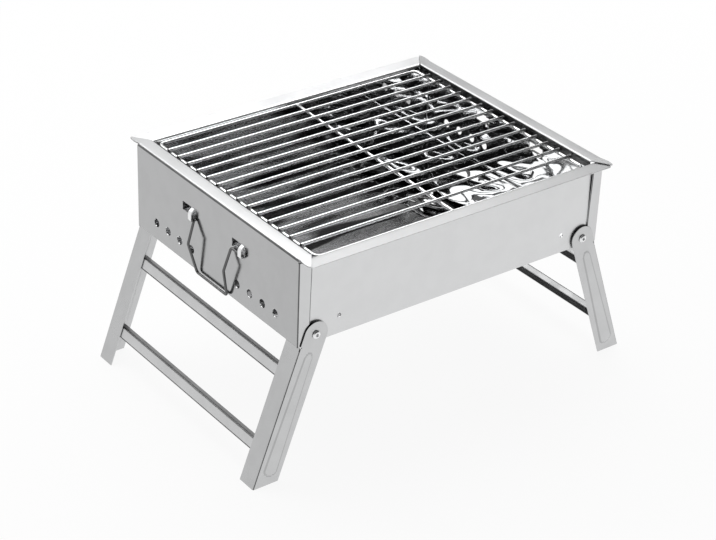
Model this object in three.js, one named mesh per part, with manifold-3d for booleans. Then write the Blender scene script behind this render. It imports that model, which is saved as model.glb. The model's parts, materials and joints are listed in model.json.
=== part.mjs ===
// Folding charcoal grill: a pressed sheet fire box with a wire cooking grate,
// two folding leg frames and two wire bails.
// Units are millimetres, +Z up, the long side along X, the front face at -Y, the feet on Z = 0.
import * as THREE from "three";
import { mergeVertices } from "three/addons/utils/BufferGeometryUtils.js";
import Module from "manifold-3d";

const wasm = await Module();
wasm.setup();

// Fire box
const GAP = 0.3; // kept between neighbouring pieces
const PAST = 1; // how far a cut runs past the sheet that it cuts
const T = 0.8; // panel sheet
const BEND = 1.2; // centre radius of a panel's bends
const HALF_L = 175; // end panel, outer face
const HALF_W = 131.7; // wrapped flange, outer face
const ZB = 132.5; // lower edge of the fire box
const ZT = ZB + 88.5; // top of the end rims
const SEAM_X = 162; // free edge of the wrapped flange

// Long panels
const PANEL_Y = HALF_W - T - GAP; // outer face
const PANEL_X = HALF_L - T - GAP; // half length
const LONG_RIM_Z = ZT - T - GAP; // top of the rim, tucked under the end rims
const LONG_RIM_Y = 146.6; // outer edge of the rim
const LONG_RIM_X = 171.5; // half length of the rim
const LONG_RIM_R = 3; // its rounded ends
const PUNCH_X = 130; // small punched holes
const PUNCH_Z = ZB + 18.7;
const PUNCH_R = 2.2;

// End panels
const RIM_IN = 160; // inner face of the rim's lip
const LIP_Z = ZB + 80; // lower edge of that lip
const LIP_Y = 128.6; // its half length
const HEM_X = 167; // free edge of the hem turned in under the box
const FLANGE_TOP = LONG_RIM_Z - T - GAP;
const EAR = [ // the rim beyond the box's corner, a pointed wedge, x and y
  [RIM_IN, 120], [HALF_L - 1.4, 120], [HALF_L - 0.4, 131], [HALF_L - 0.1, 138], [HALF_L - 0.2, 143],
  [HALF_L - 0.8, 146.2], [HALF_L - 1.9, 147.6], [HALF_L - 3.2, 147.4], [RIM_IN + 0.8, 131.6], [RIM_IN, 131],
];
const TAB = { y: 80, half: 5, tip: 152.6 }; // rests for the grate, bent inward from the lip
const VENT = { count: 4, first: 37.5, pitch: 20, r: 4.25 };
const LEFT_VENT_Z = ZB + 18.5;
const RIGHT_VENT_Z = ZB + 30;
const BRACKETS = [32, -49]; // each bracket's lower y
const BRACKET_W = 8;
const WINDOW = { length: 10, low: 1, high: 9.6 }; // above the bail's axis

// Fire pan
const PAN_TOP = ZB + 8.4;
const PAN_T = 0.6;
const PAN_NOTCH = { half: 5.5, depth: 2.4 }; // round the rivet tails

// Cooking grate
const GRATE = { hx: 155.5, hy: 127.2, corner: 6, frame: 2, bar: 1.5, bars: 14, pitch: 16.4, reach: 156.5 };
const GRATE_Z = LIP_Z + T + GAP + GRATE.frame; // on the tabs
const BAR_UP = 2.9; // the bars lie on the frame, sunk in by their welds
const CROSS_UP = 0.3; // the cross bar lies under the bars

// Leg frames
const PIVOT_X = 156;
const PIVOT_Z = ZB + 8.8;
const SPLAY = THREE.MathUtils.degToRad(20); // leg out of vertical
const LEG_HALF = 12.7; // half the width of the leg's face flange
const LEG_T = 1.0;
const LEG_Y = HALF_W + GAP; // face flange, inner face
const LEG_RETURN = 21; // end flange, depth
const LEG_REACH = 175; // longer than the leg, which the ground cuts
const SHOULDER = 14.3; // the end flange starts this far below the pivot
const BAND = { half: 5.8, from: -139, to: -21 }; // pressed stiffening band
const RUNG = { inner: 4.4, depth: 12, half: 127, bend: 1.6 };
const UPPER_RUNG = 40; // upper edge, below the pivot
const LOWER_RUNG = 113.5;
const HOLE_R = 2.55; // clearance hole for a pivot rivet
const WASHER_R = 5.4;

// Bails
const BAIL_Z = ZB + 53.2;
const BAIL_OFF = 1.65; // bail axis, outside the end panel's face
const BAIL_R = 1.3;
const BAIL_PATH = [ // x outward, y, z above the axis
  [0, 40.6, 0], [0, 30.4, 0], [7.35, 29.2, -22.2], [0.65, 24.6, -52],
  [0.65, -24.6, -52], [7.35, -29.2, -22.2], [0, -30.4, 0], [0, -50.4, 0],
];
const BAIL_BENDS = [0, 2.6, 4, 3.2, 3.2, 4, 2.6, 0]; // radius at each of those points

// Colours
const SHEET = 0xc9cbcd;
const PAN = 0xa9abad;
const WIRE = 0xd6d8da;

/** A vector from its three coordinates. */
const V = (x, y, z) => new THREE.Vector3(x, y, z);

/** A three.js geometry as a manifold solid. */
function solid(geometry) {
  const g = geometry.clone();
  g.deleteAttribute("normal");
  g.deleteAttribute("uv");
  const merged = mergeVertices(g, 1e-4);
  return new wasm.Manifold(new wasm.Mesh({
    numProp: 3,
    vertProperties: new Float32Array(merged.attributes.position.array),
    triVerts: new Uint32Array(merged.index.array),
  }));
}

/** A manifold solid as a three.js geometry. */
function geometryOf(manifold) {
  const mesh = manifold.getMesh();
  const g = new THREE.BufferGeometry();
  g.setAttribute("position", new THREE.BufferAttribute(new Float32Array(mesh.vertProperties), 3));
  g.setIndex(new THREE.BufferAttribute(new Uint32Array(mesh.triVerts), 1));
  g.computeVertexNormals();
  return g;
}

/** The mirror image of a geometry, with its faces turned the right way out. */
function mirrorOf(geometry, sx, sy) {
  const g = geometry.clone().scale(sx, sy, 1);
  if (sx * sy < 0) {
    const index = g.index.array;
    for (let i = 0; i < index.length; i += 3) {
      [index[i + 1], index[i + 2]] = [index[i + 2], index[i + 1]];
    }
  }
  g.computeVertexNormals();
  return g;
}

/** Turns an extrusion along Z into one along X, with the outline's first coordinate along Y. */
const ALONG_X = new THREE.Matrix4().makeBasis(V(0, 1, 0), V(0, 0, 1), V(1, 0, 0));

/** A straight prism of an outline along "x" (outline y, z), "y" (outline x, z) or "z" (outline x, y). */
function prism(outline, axis, from, to, bevel = null) {
  const shape = new THREE.Shape(outline.map(([a, b]) => new THREE.Vector2(a, b)));
  const g = new THREE.ExtrudeGeometry(shape, { depth: to - from, bevelEnabled: false, ...bevel });
  if (axis === "x") g.applyMatrix4(ALONG_X).translate(from, 0, 0);
  else if (axis === "y") g.rotateX(Math.PI / 2).translate(0, to, 0);
  else g.translate(0, 0, from);
  return solid(g);
}

/** The settings of a bevel that runs inward from the outline. */
function inwardBevel(size, thickness, segments) {
  return {
    bevelEnabled: true,
    bevelSegments: segments,
    bevelSize: size,
    bevelThickness: thickness,
    bevelOffset: -size,
  };
}

/** A box between two opposite corners. */
function box([x0, y0, z0], [x1, y1, z1]) {
  const g = new THREE.BoxGeometry(Math.abs(x1 - x0), Math.abs(y1 - y0), Math.abs(z1 - z0));
  return solid(g.translate((x0 + x1) / 2, (y0 + y1) / 2, (z0 + z1) / 2));
}

/** A cylinder along "x", "y" or "z", centred on c, of length l. */
function rod(axis, c, r, l, sides = 24) {
  const g = new THREE.CylinderGeometry(r, r, l, sides);
  if (axis === "x") g.rotateZ(Math.PI / 2);
  if (axis === "z") g.rotateX(Math.PI / 2);
  return solid(g.translate(...c));
}

/** Rounds the inner corners of a polyline with the given radius, or one radius for each point. */
function rounded(points, radius, seg) {
  const out = [points[0].clone()];
  for (let i = 1; i < points.length - 1; i++) {
    const p = points[i];
    const a = points[i - 1].clone().sub(p);
    const b = points[i + 1].clone().sub(p);
    const room = 0.49 * Math.min(a.length(), b.length());
    a.normalize();
    b.normalize();
    const half = Math.acos(a.dot(b)) / 2;
    const wanted = Array.isArray(radius) ? radius[i] : radius;
    const cut = Math.min(wanted / Math.tan(half), room);
    const r = cut * Math.tan(half);
    const centre = a.clone().add(b).normalize().multiplyScalar(r / Math.sin(half)).add(p);
    const s = a.multiplyScalar(cut).add(p).sub(centre);
    const e = b.multiplyScalar(cut).add(p).sub(centre);
    const sweep = s.angleTo(e);
    for (let k = 0; k <= seg; k++) {
      const t = k / seg;
      const fromStart = s.clone().multiplyScalar(Math.sin((1 - t) * sweep) / Math.sin(sweep));
      const fromEnd = e.clone().multiplyScalar(Math.sin(t * sweep) / Math.sin(sweep));
      out.push(fromStart.add(fromEnd).add(centre));
    }
  }
  out.push(points[points.length - 1].clone());
  return out;
}

/** The outline of a bent sheet of thickness t along a centre line, with bends of centre radius r. */
function bentSheet(line, t, r, seg = 4) {
  const path = rounded(line.map(([a, b]) => new THREE.Vector2(a, b)), r, seg);
  const outer = [];
  const inner = [];
  path.forEach((p, i) => {
    const before = p.clone().sub(path[Math.max(i - 1, 0)]).normalize();
    const after = path[Math.min(i + 1, path.length - 1)].clone().sub(p).normalize();
    const along = before.add(after);
    const half = Math.max(along.length() / 2, 0.5);
    along.normalize();
    const ends = i === 0 || i === path.length - 1 ? 1 : half;
    const offset = new THREE.Vector2(-along.y, along.x).multiplyScalar(t / 2 / ends);
    outer.push([p.x + offset.x, p.y + offset.y]);
    inner.push([p.x - offset.x, p.y - offset.y]);
  });
  return outer.concat(inner.reverse());
}

/** A path through given points, one step of the extrusion for each of its pieces. */
class BentPath extends THREE.Curve {
  constructor(points) {
    super();
    this.points = points;
  }
  getPoint(t, target = new THREE.Vector3()) {
    const s = t * (this.points.length - 1);
    const i = Math.min(Math.floor(s + 1e-9), this.points.length - 2);
    return target.lerpVectors(this.points[i], this.points[i + 1], s - i);
  }
  getPointAt(u, target) {
    return this.getPoint(u, target);
  }
  getTangentAt(u, target = new THREE.Vector3()) {
    const last = this.points.length - 1;
    const i = Math.round(u * last);
    const here = this.points[i];
    const before = here.clone().sub(this.points[Math.max(i - 1, 0)]).normalize();
    const after = this.points[Math.min(i + 1, last)].clone().sub(here).normalize();
    return target.copy(before.add(after).normalize());
  }
}

/** A round wire along a list of points. */
function wire(points, r, sides) {
  const ring = Array.from({ length: sides }, (_, k) => {
    const w = ((k + 0.5) / sides) * Math.PI * 2;
    return new THREE.Vector2(r * Math.cos(w), r * Math.sin(w));
  });
  return solid(new THREE.ExtrudeGeometry(new THREE.Shape(ring), {
    steps: points.length - 1, bevelEnabled: false, extrudePath: new BentPath(points),
  }));
}

/** A slot outline: half width w, running from a to b along the second coordinate. */
function slot(w, a, b, seg = 8) {
  const arc = (centre, start) => Array.from({ length: seg + 1 }, (_, k) => {
    const t = start + (k / seg) * Math.PI;
    return [w * Math.cos(t), centre + w * Math.sin(t)];
  });
  return arc(b - w, 0).concat(arc(a + w, Math.PI));
}

/** A piece turned about the Y axis. */
function turned(profile, sides = 24) {
  return solid(new THREE.LatheGeometry(profile.map(([r, y]) => new THREE.Vector2(r, y)), sides));
}

/** The back panel: a wall with an outward rim, two pivot holes and two small punched holes. */
function longPanel() {
  const mid = PANEL_Y - T / 2;
  const rim = LONG_RIM_Z - T / 2;
  const profile = bentSheet([[mid, ZB + 60], [mid, rim], [LONG_RIM_Y, rim]], T, BEND);
  let panel = box([-PANEL_X, PANEL_Y - T, ZB], [PANEL_X, PANEL_Y, LONG_RIM_Z - BEND])
    .add(prism(profile, "x", -LONG_RIM_X, LONG_RIM_X));
  const yc = LONG_RIM_Y - LONG_RIM_R;
  for (const s of [-1, 1]) {
    const xc = s * (LONG_RIM_X - LONG_RIM_R);
    const corner = box([xc, yc, rim - T], [s * (LONG_RIM_X + PAST), LONG_RIM_Y + PAST, rim + T])
      .subtract(rod("z", [xc, yc, rim], LONG_RIM_R, 4 * T, 32));
    panel = panel.subtract(corner)
      .subtract(rod("y", [s * PIVOT_X, PANEL_Y, PIVOT_Z], HOLE_R, 8))
      .subtract(rod("y", [s * PUNCH_X, PANEL_Y, PUNCH_Z], PUNCH_R, 8, 16));
  }
  return geometryOf(panel);
}

/** A bracket strap's outline in x and z: how far it reaches below and above the axis, at four distances. */
function strap(below, above, distances) {
  const x = distances.map((d) => HALF_L + d);
  const lower = x.map((d, i) => [d, BAIL_Z - below[i]]);
  const upper = x.map((d, i) => [d, BAIL_Z + above[i]]);
  return lower.concat(upper.reverse());
}

/** The +X end panel: hem, wall, rim and lip in one bend, flanges, ears, grate tabs, vents, bail brackets. */
function endPanel(ventZ) {
  const wall = HALF_L - T / 2;
  const hem = ZB + T / 2;
  const rim = ZT - T / 2;
  const lip = RIM_IN + T / 2;
  const side = HALF_W - T / 2;
  const full = bentSheet([[HEM_X, hem], [wall, hem], [wall, rim], [lip, rim], [lip, LIP_Z]], T, BEND);
  const upper = bentSheet([[wall, ZB + 40], [wall, rim], [RIM_IN, rim]], T, BEND);
  const wrap = bentSheet([[SEAM_X, -side], [wall, -side], [wall, side], [SEAM_X, side]], T, BEND);
  let panel = prism(full, "y", -LIP_Y, LIP_Y)
    .add(prism(upper, "y", -HALF_W + 1.3, HALF_W - 1.3))
    .add(prism(wrap, "z", ZB, FLANGE_TOP));
  for (const s of [-1, 1]) {
    panel = panel.add(prism(EAR.map(([x, y]) => [x, s * y]), "z", ZT - T, ZT))
      .add(box([TAB.tip, s * (TAB.y - TAB.half), LIP_Z], [lip, s * (TAB.y + TAB.half), LIP_Z + T]));
    for (let i = 0; i < VENT.count; i++) {
      const y = s * (VENT.first + VENT.pitch * i);
      panel = panel.subtract(rod("x", [HALF_L, y, ventZ], VENT.r, 8, 20));
    }
  }
  // each bracket is a strap pressed out of the wall, with the window that it leaves on its +Y side
  const outer = strap([3.4, 3.4, 2.7, 1.4], [9.8, 9.8, 7.2, 4.6], [-T, 0, 3.0, 4.1]);
  const inner = strap([2.4, 2.4, 1.9, 1.1], [8.6, 8.6, 6.2, 4.0], [-T - PAST, 0, 2.5, 3.3]);
  for (const y of BRACKETS) {
    const end = y + BRACKET_W;
    panel = panel.add(prism(outer, "y", y, end))
      .subtract(prism(inner, "y", y - PAST / 2, end + PAST / 2))
      .subtract(box(
        [HALF_L - T - PAST, end, BAIL_Z + WINDOW.low],
        [HALF_L + PAST, end + WINDOW.length, BAIL_Z + WINDOW.high],
      ));
  }
  return geometryOf(panel);
}

/** The fire pan's outline, its corners cut off at 45 degrees. */
function panOutline(x, y, c) {
  const right = [[x - c, -y], [x, -y + c], [x, y - c], [x - c, y]];
  const left = [[-x + c, y], [-x, y - c], [-x, -y + c], [-x + c, -y]];
  return right.concat(left);
}

/** The fire pan: a plate with turned-down skirts, notched round the rivet tails. */
function firePan() {
  const x = PANEL_X;
  const y = PANEL_Y - T - GAP;
  const z = ZB + T + GAP;
  const roundOver = 1;
  const within = 0.6;
  const outer = prism(panOutline(x, y, 1), "z", z, PAN_TOP - roundOver, inwardBevel(roundOver, roundOver, 2));
  const inner = prism(
    panOutline(x - PAN_T, y - PAN_T, 1), "z", z - 3, PAN_TOP - PAN_T - within, inwardBevel(within, within, 1),
  );
  const above = box([-x - PAST, -y - PAST, z], [x + PAST, y + PAST, PAN_TOP + PAST]);
  let pan = outer.intersect(above).subtract(inner);
  for (const sx of [-1, 1]) {
    const mid = sx * PIVOT_X;
    for (const sy of [-1, 1]) {
      pan = pan.subtract(box(
        [mid - PAN_NOTCH.half, sy * (y - PAN_NOTCH.depth), ZB],
        [mid + PAN_NOTCH.half, sy * (y + PAST), PAN_TOP + PAST],
      ));
    }
  }
  return geometryOf(pan);
}

/** The cooking grate: a rounded wire frame, the long bars welded on top of it, one cross bar under them. */
function cookingGrate() {
  const { hx, hy, corner, frame, bar, bars, pitch, reach } = GRATE;
  const z = GRATE_Z;
  const start = V(20, hy, z); // the frame's weld
  const corners = [V(hx, hy, z), V(hx, -hy, z), V(-hx, -hy, z), V(-hx, hy, z)];
  const loop = rounded([start, ...corners, start], corner, 5);
  let grate = solid(new THREE.TubeGeometry(new BentPath(loop), loop.length - 1, frame, 8, true));
  for (let i = 0; i < bars; i++) {
    const y = (i - (bars - 1) / 2) * pitch;
    grate = grate.add(rod("x", [0, y, z + BAR_UP], bar, 2 * reach, 8));
  }
  return geometryOf(grate.add(rod("y", [0, 0, z + CROSS_UP], bar, 2 * hy, 8)));
}

// A leg frame is built about its pivot: x outward, y, z up along the leg

/** The +X, +Y leg: an angle with a rounded ear, a pressed band and a foot cut level with the ground. */
function leg() {
  const face = LEG_Y + LEG_T;
  const mid = LEG_Y + LEG_T / 2;
  const end = LEG_HALF - LEG_T / 2;
  const section = bentSheet([[-LEG_HALF, mid], [end, mid], [end, face - LEG_RETURN]], LEG_T, 1.1);
  const relief = box( // a notch where the end flange starts
    [LEG_HALF - 1.7, LEG_Y - PAST, -SHOULDER], [LEG_HALF + PAST, face + PAST, -SHOULDER + 1.4],
  );
  const angle = prism(section, "z", -LEG_REACH, -SHOULDER)
    .add(box([-LEG_HALF, LEG_Y, -SHOULDER - 0.6], [LEG_HALF, face, 0]))
    .add(rod("y", [0, mid, 0], LEG_HALF, LEG_T, 48))
    .subtract(rod("y", [0, mid, 0], HOLE_R, 6))
    .subtract(relief);
  const band = (y) => prism(slot(BAND.half, BAND.from, BAND.to), "y", y - 0.3, y, inwardBevel(0.8, 0.5, 1));
  const ground = new THREE.BoxGeometry(600, 600, 200).translate(-PIVOT_X, 0, -PIVOT_Z - 100).rotateY(SPLAY);
  return geometryOf(angle.add(band(face)).subtract(band(LEG_Y)).subtract(solid(ground)));
}

/** A channel rung, its web outward against the end flanges, its upper edge v below the pivot. */
function rung(v) {
  const web = LEG_HALF - LEG_T - GAP - T / 2;
  const upper = -v - T / 2;
  const lower = -v - RUNG.depth + T / 2;
  const line = [[RUNG.inner, upper], [web, upper], [web, lower], [RUNG.inner, lower]];
  const section = bentSheet(line, T, RUNG.bend, 3);
  return geometryOf(prism(section, "y", -RUNG.half, RUNG.half));
}

/** The rivet of a +Y corner about its own axis: domed head with a tubular mouth, shank, formed tail. */
function rivet() {
  const head = LEG_Y + LEG_T + GAP;
  const tail = PANEL_Y - T - GAP;
  return geometryOf(turned([
    [0, tail - 1.1], [3.1, tail - 1.1], [3.7, tail - 0.6], [3.7, tail], [2.25, tail], [2.25, head],
    [4.1, head], [4.1, head + 0.6], [3.5, head + 1.3], [2.5, head + 1.75], [1.8, head + 1.8],
    [1.3, head + 1.4], [1.3, head - 0.6], [0, head - 0.6],
  ]));
}

/** The washer that fills the step between a long panel and the leg. */
function spacer() {
  const a = PANEL_Y + GAP;
  const b = LEG_Y - GAP;
  return geometryOf(turned([[HOLE_R, a], [WASHER_R, a], [WASHER_R, b], [HOLE_R, b], [HOLE_R, a]]));
}

/** The +X bail about its own axis: one wire, bowed outward, its ends turned out into the brackets. */
function bail() {
  const path = rounded(BAIL_PATH.map(([x, y, z]) => V(x, y, z)), BAIL_BENDS, 4);
  return geometryOf(wire(path, BAIL_R, 10));
}

/** A named mesh with its own material. */
function piece(name, geometry, color, roughness) {
  const mesh = new THREE.Mesh(geometry, new THREE.MeshStandardMaterial({ color, metalness: 1, roughness }));
  mesh.name = name;
  return mesh;
}

const grill = new THREE.Group();
grill.name = "folding_charcoal_grill";

const fireBox = new THREE.Group();
const back = longPanel();
fireBox.add(
  piece("front_panel", mirrorOf(back, 1, -1), SHEET, 0.35),
  piece("back_panel", back, SHEET, 0.35),
  piece("left_end_panel", mirrorOf(endPanel(LEFT_VENT_Z), -1, 1), SHEET, 0.35),
  piece("right_end_panel", endPanel(RIGHT_VENT_Z), SHEET, 0.35),
  piece("fire_pan", firePan(), PAN, 0.15),
  piece("cooking_grate", cookingGrate(), WIRE, 0.2),
);
grill.add(fireBox);

for (const [side, sx] of [["left", -1], ["right", 1]]) {
  const frame = new THREE.Group();
  frame.position.set(sx * PIVOT_X, 0, PIVOT_Z);
  frame.rotation.y = -sx * SPLAY;
  for (const [face, sy] of [["front", -1], ["back", 1]]) {
    frame.add(piece(`${side}_${face}_leg`, mirrorOf(leg(), sx, sy), SHEET, 0.4));
    for (const [part, shape] of [["pivot_rivet", rivet()], ["pivot_spacer", spacer()]]) {
      const small = piece(`${side}_${face}_${part}`, mirrorOf(shape, sx, sy), WIRE, 0.25);
      small.position.set(sx * PIVOT_X, 0, PIVOT_Z);
      fireBox.add(small);
    }
  }
  frame.add(
    piece(`${side}_upper_rung`, mirrorOf(rung(UPPER_RUNG), sx, 1), SHEET, 0.4),
    piece(`${side}_lower_rung`, mirrorOf(rung(LOWER_RUNG), sx, 1), SHEET, 0.4),
  );
  grill.add(frame);

  const handle = piece(`${side}_handle`, mirrorOf(bail(), sx, 1), WIRE, 0.25);
  handle.position.set(sx * (HALF_L + BAIL_OFF), 0, BAIL_Z);
  grill.add(handle);
}

export default grill;
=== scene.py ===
"""Looks of a folding charcoal grill: a satin sheet steel fire box, a plated wire grate, leg frames and bails.

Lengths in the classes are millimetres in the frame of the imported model: the long side along X, the front face
at -Y, +Z up, the feet on Z = 0. Meshes are made in metres.
"""

from __future__ import annotations

import json
import logging
import math
from collections.abc import Callable, Sequence
from dataclasses import dataclass, field
from enum import Enum

import bmesh
import bpy
import numpy as np
from mathutils import Matrix, Vector

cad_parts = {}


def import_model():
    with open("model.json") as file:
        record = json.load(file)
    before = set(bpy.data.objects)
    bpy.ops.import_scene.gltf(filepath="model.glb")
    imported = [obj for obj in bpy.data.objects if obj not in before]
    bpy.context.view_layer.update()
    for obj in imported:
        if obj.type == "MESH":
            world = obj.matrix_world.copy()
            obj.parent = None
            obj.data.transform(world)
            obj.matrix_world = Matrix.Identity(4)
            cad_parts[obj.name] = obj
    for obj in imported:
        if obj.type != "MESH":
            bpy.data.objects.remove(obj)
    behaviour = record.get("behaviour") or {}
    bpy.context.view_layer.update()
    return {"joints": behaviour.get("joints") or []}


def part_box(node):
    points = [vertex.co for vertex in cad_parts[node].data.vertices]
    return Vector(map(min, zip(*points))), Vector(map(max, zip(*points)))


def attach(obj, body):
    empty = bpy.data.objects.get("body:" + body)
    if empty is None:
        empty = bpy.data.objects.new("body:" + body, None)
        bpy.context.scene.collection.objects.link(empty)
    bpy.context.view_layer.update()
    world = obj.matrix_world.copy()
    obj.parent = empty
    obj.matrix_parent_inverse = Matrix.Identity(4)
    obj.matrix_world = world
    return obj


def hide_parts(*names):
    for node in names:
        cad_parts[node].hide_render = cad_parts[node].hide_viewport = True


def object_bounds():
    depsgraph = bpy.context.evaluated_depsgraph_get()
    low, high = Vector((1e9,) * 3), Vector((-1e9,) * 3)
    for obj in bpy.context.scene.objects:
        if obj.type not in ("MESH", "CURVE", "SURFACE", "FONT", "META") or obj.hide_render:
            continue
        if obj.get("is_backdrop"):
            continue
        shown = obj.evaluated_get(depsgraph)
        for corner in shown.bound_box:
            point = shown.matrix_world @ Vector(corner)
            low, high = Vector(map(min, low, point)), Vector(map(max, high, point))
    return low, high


log = logging.getLogger("grill")

MM = 0.001
SIDES = {"left": -1, "right": 1}
FACES = {"front": -1, "back": 1}
VENTS_UP = {"left": 18.5, "right": 30.0}  # above the lower edge of the box

Colour = tuple[float, float, float]
Point = tuple[float, float]
Range = tuple[float, float]
Socket = bpy.types.NodeSocket
Inputs = dict[str | int, object]


class Join(Enum):
    """How one solid is joined with another."""

    ADD = "UNION"
    CUT = "DIFFERENCE"


class Axis(Enum):
    """The axis that a section is drawn out along, with the two axes that the section lies in."""

    X = (1, 2, 0)
    Y = (0, 2, 1)
    Z = (0, 1, 2)


class Slot(Enum):
    """The record's material slots."""

    PANEL = "panel_sheet"
    PAN = "pan_sheet"
    LEG = "leg_sheet"
    WIRE = "wire"
    HANDLE = "handle_wire"
    RIVET = "rivet"


def linked(name: str, data: bpy.types.ID) -> bpy.types.Object:
    """Makes an object and puts it in the scene.

    Args:
        name: its name.
        data: its mesh, lamp or camera.

    Returns:
        The object.
    """
    item = bpy.data.objects.new(name, data)
    bpy.context.scene.collection.objects.link(item)
    return item


# Outlines and paths


def rounded(points: Sequence[Sequence[float]], radius: float | Sequence[float], steps: int) -> np.ndarray:
    """Rounds the inner corners of a line.

    Args:
        points: corners in two or three dimensions.
        radius: one bend radius, or one for each corner.
        steps: pieces in each bend.

    Returns:
        The points of the rounded line.
    """
    corners = [np.array(p, float) for p in points]
    line = [corners[0]]
    for i, corner in enumerate(corners[1:-1], 1):
        a, b = corners[i - 1] - corner, corners[i + 1] - corner
        room = 0.49 * min(np.linalg.norm(a), np.linalg.norm(b))
        a, b = a / np.linalg.norm(a), b / np.linalg.norm(b)
        half = math.acos(float(np.clip(a @ b, -1, 1))) / 2
        bend = radius if isinstance(radius, (int, float)) else radius[i]
        cut = min(bend / math.tan(half), room)
        bend = cut * math.tan(half)
        middle = a + b
        centre = corner + middle / np.linalg.norm(middle) * bend / math.sin(half)
        start, end = corner + a * cut - centre, corner + b * cut - centre
        sweep = math.pi - 2 * half
        for k in range(steps + 1):
            t = k / steps
            turn = start * math.sin((1 - t) * sweep) + end * math.sin(t * sweep)
            line.append(centre + turn / math.sin(sweep))
    line.append(corners[-1])
    return np.array(line)


def divided(line: np.ndarray, pitch: float) -> np.ndarray:
    """Adds points to the long stretches of a line, no further apart than the pitch.

    Args:
        line: the points.
        pitch: the longest step.

    Returns:
        The longer list of points.
    """
    out = [line[0]]
    for a, b in zip(line[:-1], line[1:]):
        count = max(1, math.ceil(np.linalg.norm(b - a) / pitch))
        out.extend(a + (b - a) * k / count for k in range(1, count + 1))
    return np.array(out)


def arc(centre: Sequence[float], radius: float, start: float, end: float, steps: int) -> list[Point]:
    """Points on a circle from one angle to another, in degrees."""
    angles = np.radians(np.linspace(start, end, steps + 1))
    return [(centre[0] + radius * math.cos(w), centre[1] + radius * math.sin(w)) for w in angles]


def steps_between(start: float, end: float, pitch: float) -> np.ndarray:
    """Even stations from start to end, no further apart than the pitch."""
    return np.linspace(start, end, max(2, math.ceil((end - start) / pitch) + 1))


def smooth_step(value: np.ndarray) -> np.ndarray:
    """0 below 0, 1 above 1, and a soft ramp between."""
    t = np.clip(value, 0, 1)
    return t * t * (3 - 2 * t)


def clear_of(distance: np.ndarray, still: float, over: float) -> np.ndarray:
    """0 within a distance of an edge that stays still, rising to 1 over a further distance."""
    return smooth_step((distance - still) / over)


# Solids


@dataclass
class Shape:
    """A closed mesh, or several: points in millimetres and faces as runs of point numbers."""

    points: np.ndarray
    faces: list[tuple[int, ...]]

    def plus(self, *others: Shape) -> Shape:
        """The same mesh with others beside it, not joined.

        Args:
            others: the meshes that are added.

        Returns:
            All of them as one mesh.
        """
        points, faces = [self.points], list(self.faces)
        count = len(self.points)
        for other in others:
            faces.extend(tuple(i + count for i in f) for f in other.faces)
            points.append(other.points)
            count += len(other.points)
        return Shape(np.concatenate(points), faces)

    def mapped(self, change: Callable[[np.ndarray], np.ndarray]) -> Shape:
        """The same mesh with every point moved by a function."""
        return Shape(change(self.points), self.faces)

    def mirrored(self, sx: int, sy: int) -> Shape:
        """The mirror image in X, Y or both, with its faces turned the right way out."""
        faces = [tuple(reversed(f)) for f in self.faces] if sx * sy < 0 else self.faces
        return Shape(self.points * np.array([sx, sy, 1]), faces)

    def placed(self, matrix: Matrix) -> Shape:
        """The same mesh moved and turned by a matrix in millimetres."""
        m = np.array(matrix, float)
        return Shape(self.points @ m[:3, :3].T + m[:3, 3], self.faces)

    def thing(self, name: str) -> bpy.types.Object:
        """A Blender object of this mesh, in metres.

        Args:
            name: its name.

        Returns:
            The object, with its normals outward.
        """
        mesh = bpy.data.meshes.new(name)
        mesh.from_pydata((self.points * MM).tolist(), [], self.faces)
        made = bmesh.new()
        made.from_mesh(mesh)
        bmesh.ops.remove_doubles(made, verts=made.verts, dist=1e-6)
        bmesh.ops.recalc_face_normals(made, faces=made.faces)
        made.to_mesh(mesh)
        made.free()
        return linked(name, mesh)

    def with_tool(self, how: Join, *tools: Shape) -> Shape:
        """Adds other solids to this one or cuts them away, one after the other.

        Args:
            how: what each tool does.
            tools: closed meshes.

        Returns:
            The solid that is left.
        """
        body = self.thing("work")
        helpers = [tool.thing("tool") for tool in tools]
        for helper in helpers:
            step = body.modifiers.new("step", "BOOLEAN")
            step.operation, step.solver, step.object = how.value, "MANIFOLD", helper
        done = body.evaluated_get(bpy.context.evaluated_depsgraph_get()).to_mesh()
        points = np.empty(len(done.vertices) * 3)
        done.vertices.foreach_get("co", points)
        result = Shape(points.reshape(-1, 3) / MM, [tuple(p.vertices) for p in done.polygons])
        for item in [body, *helpers]:
            bpy.data.objects.remove(item)
        return result


def skin(rings: Sequence[np.ndarray], closed: bool = False) -> list[tuple[int, ...]]:
    """Quads between rings that have the same number of points.

    Args:
        rings: the rings' points, in order.
        closed: True where the last ring meets the first.

    Returns:
        The faces.
    """
    size, count = len(rings[0]), len(rings)
    faces = []
    for i in range(count if closed else count - 1):
        a, b = i * size, (i + 1) % count * size
        faces.extend((a + k, a + (k + 1) % size, b + (k + 1) % size, b + k) for k in range(size))
    return faces


def lay(axis: Axis, section: np.ndarray, station: float) -> np.ndarray:
    """Points of a flat section, set at a station along an axis.

    Args:
        axis: what the section is drawn out along.
        section: its flat points.
        station: the place along the axis.

    Returns:
        The points in space.
    """
    points = np.empty((len(section), 3))
    u, v, w = axis.value
    points[:, u], points[:, v], points[:, w] = section[:, 0], section[:, 1], station
    return points


EDGE = 0.15  # the chamfer that a sheared edge catches light on


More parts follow.
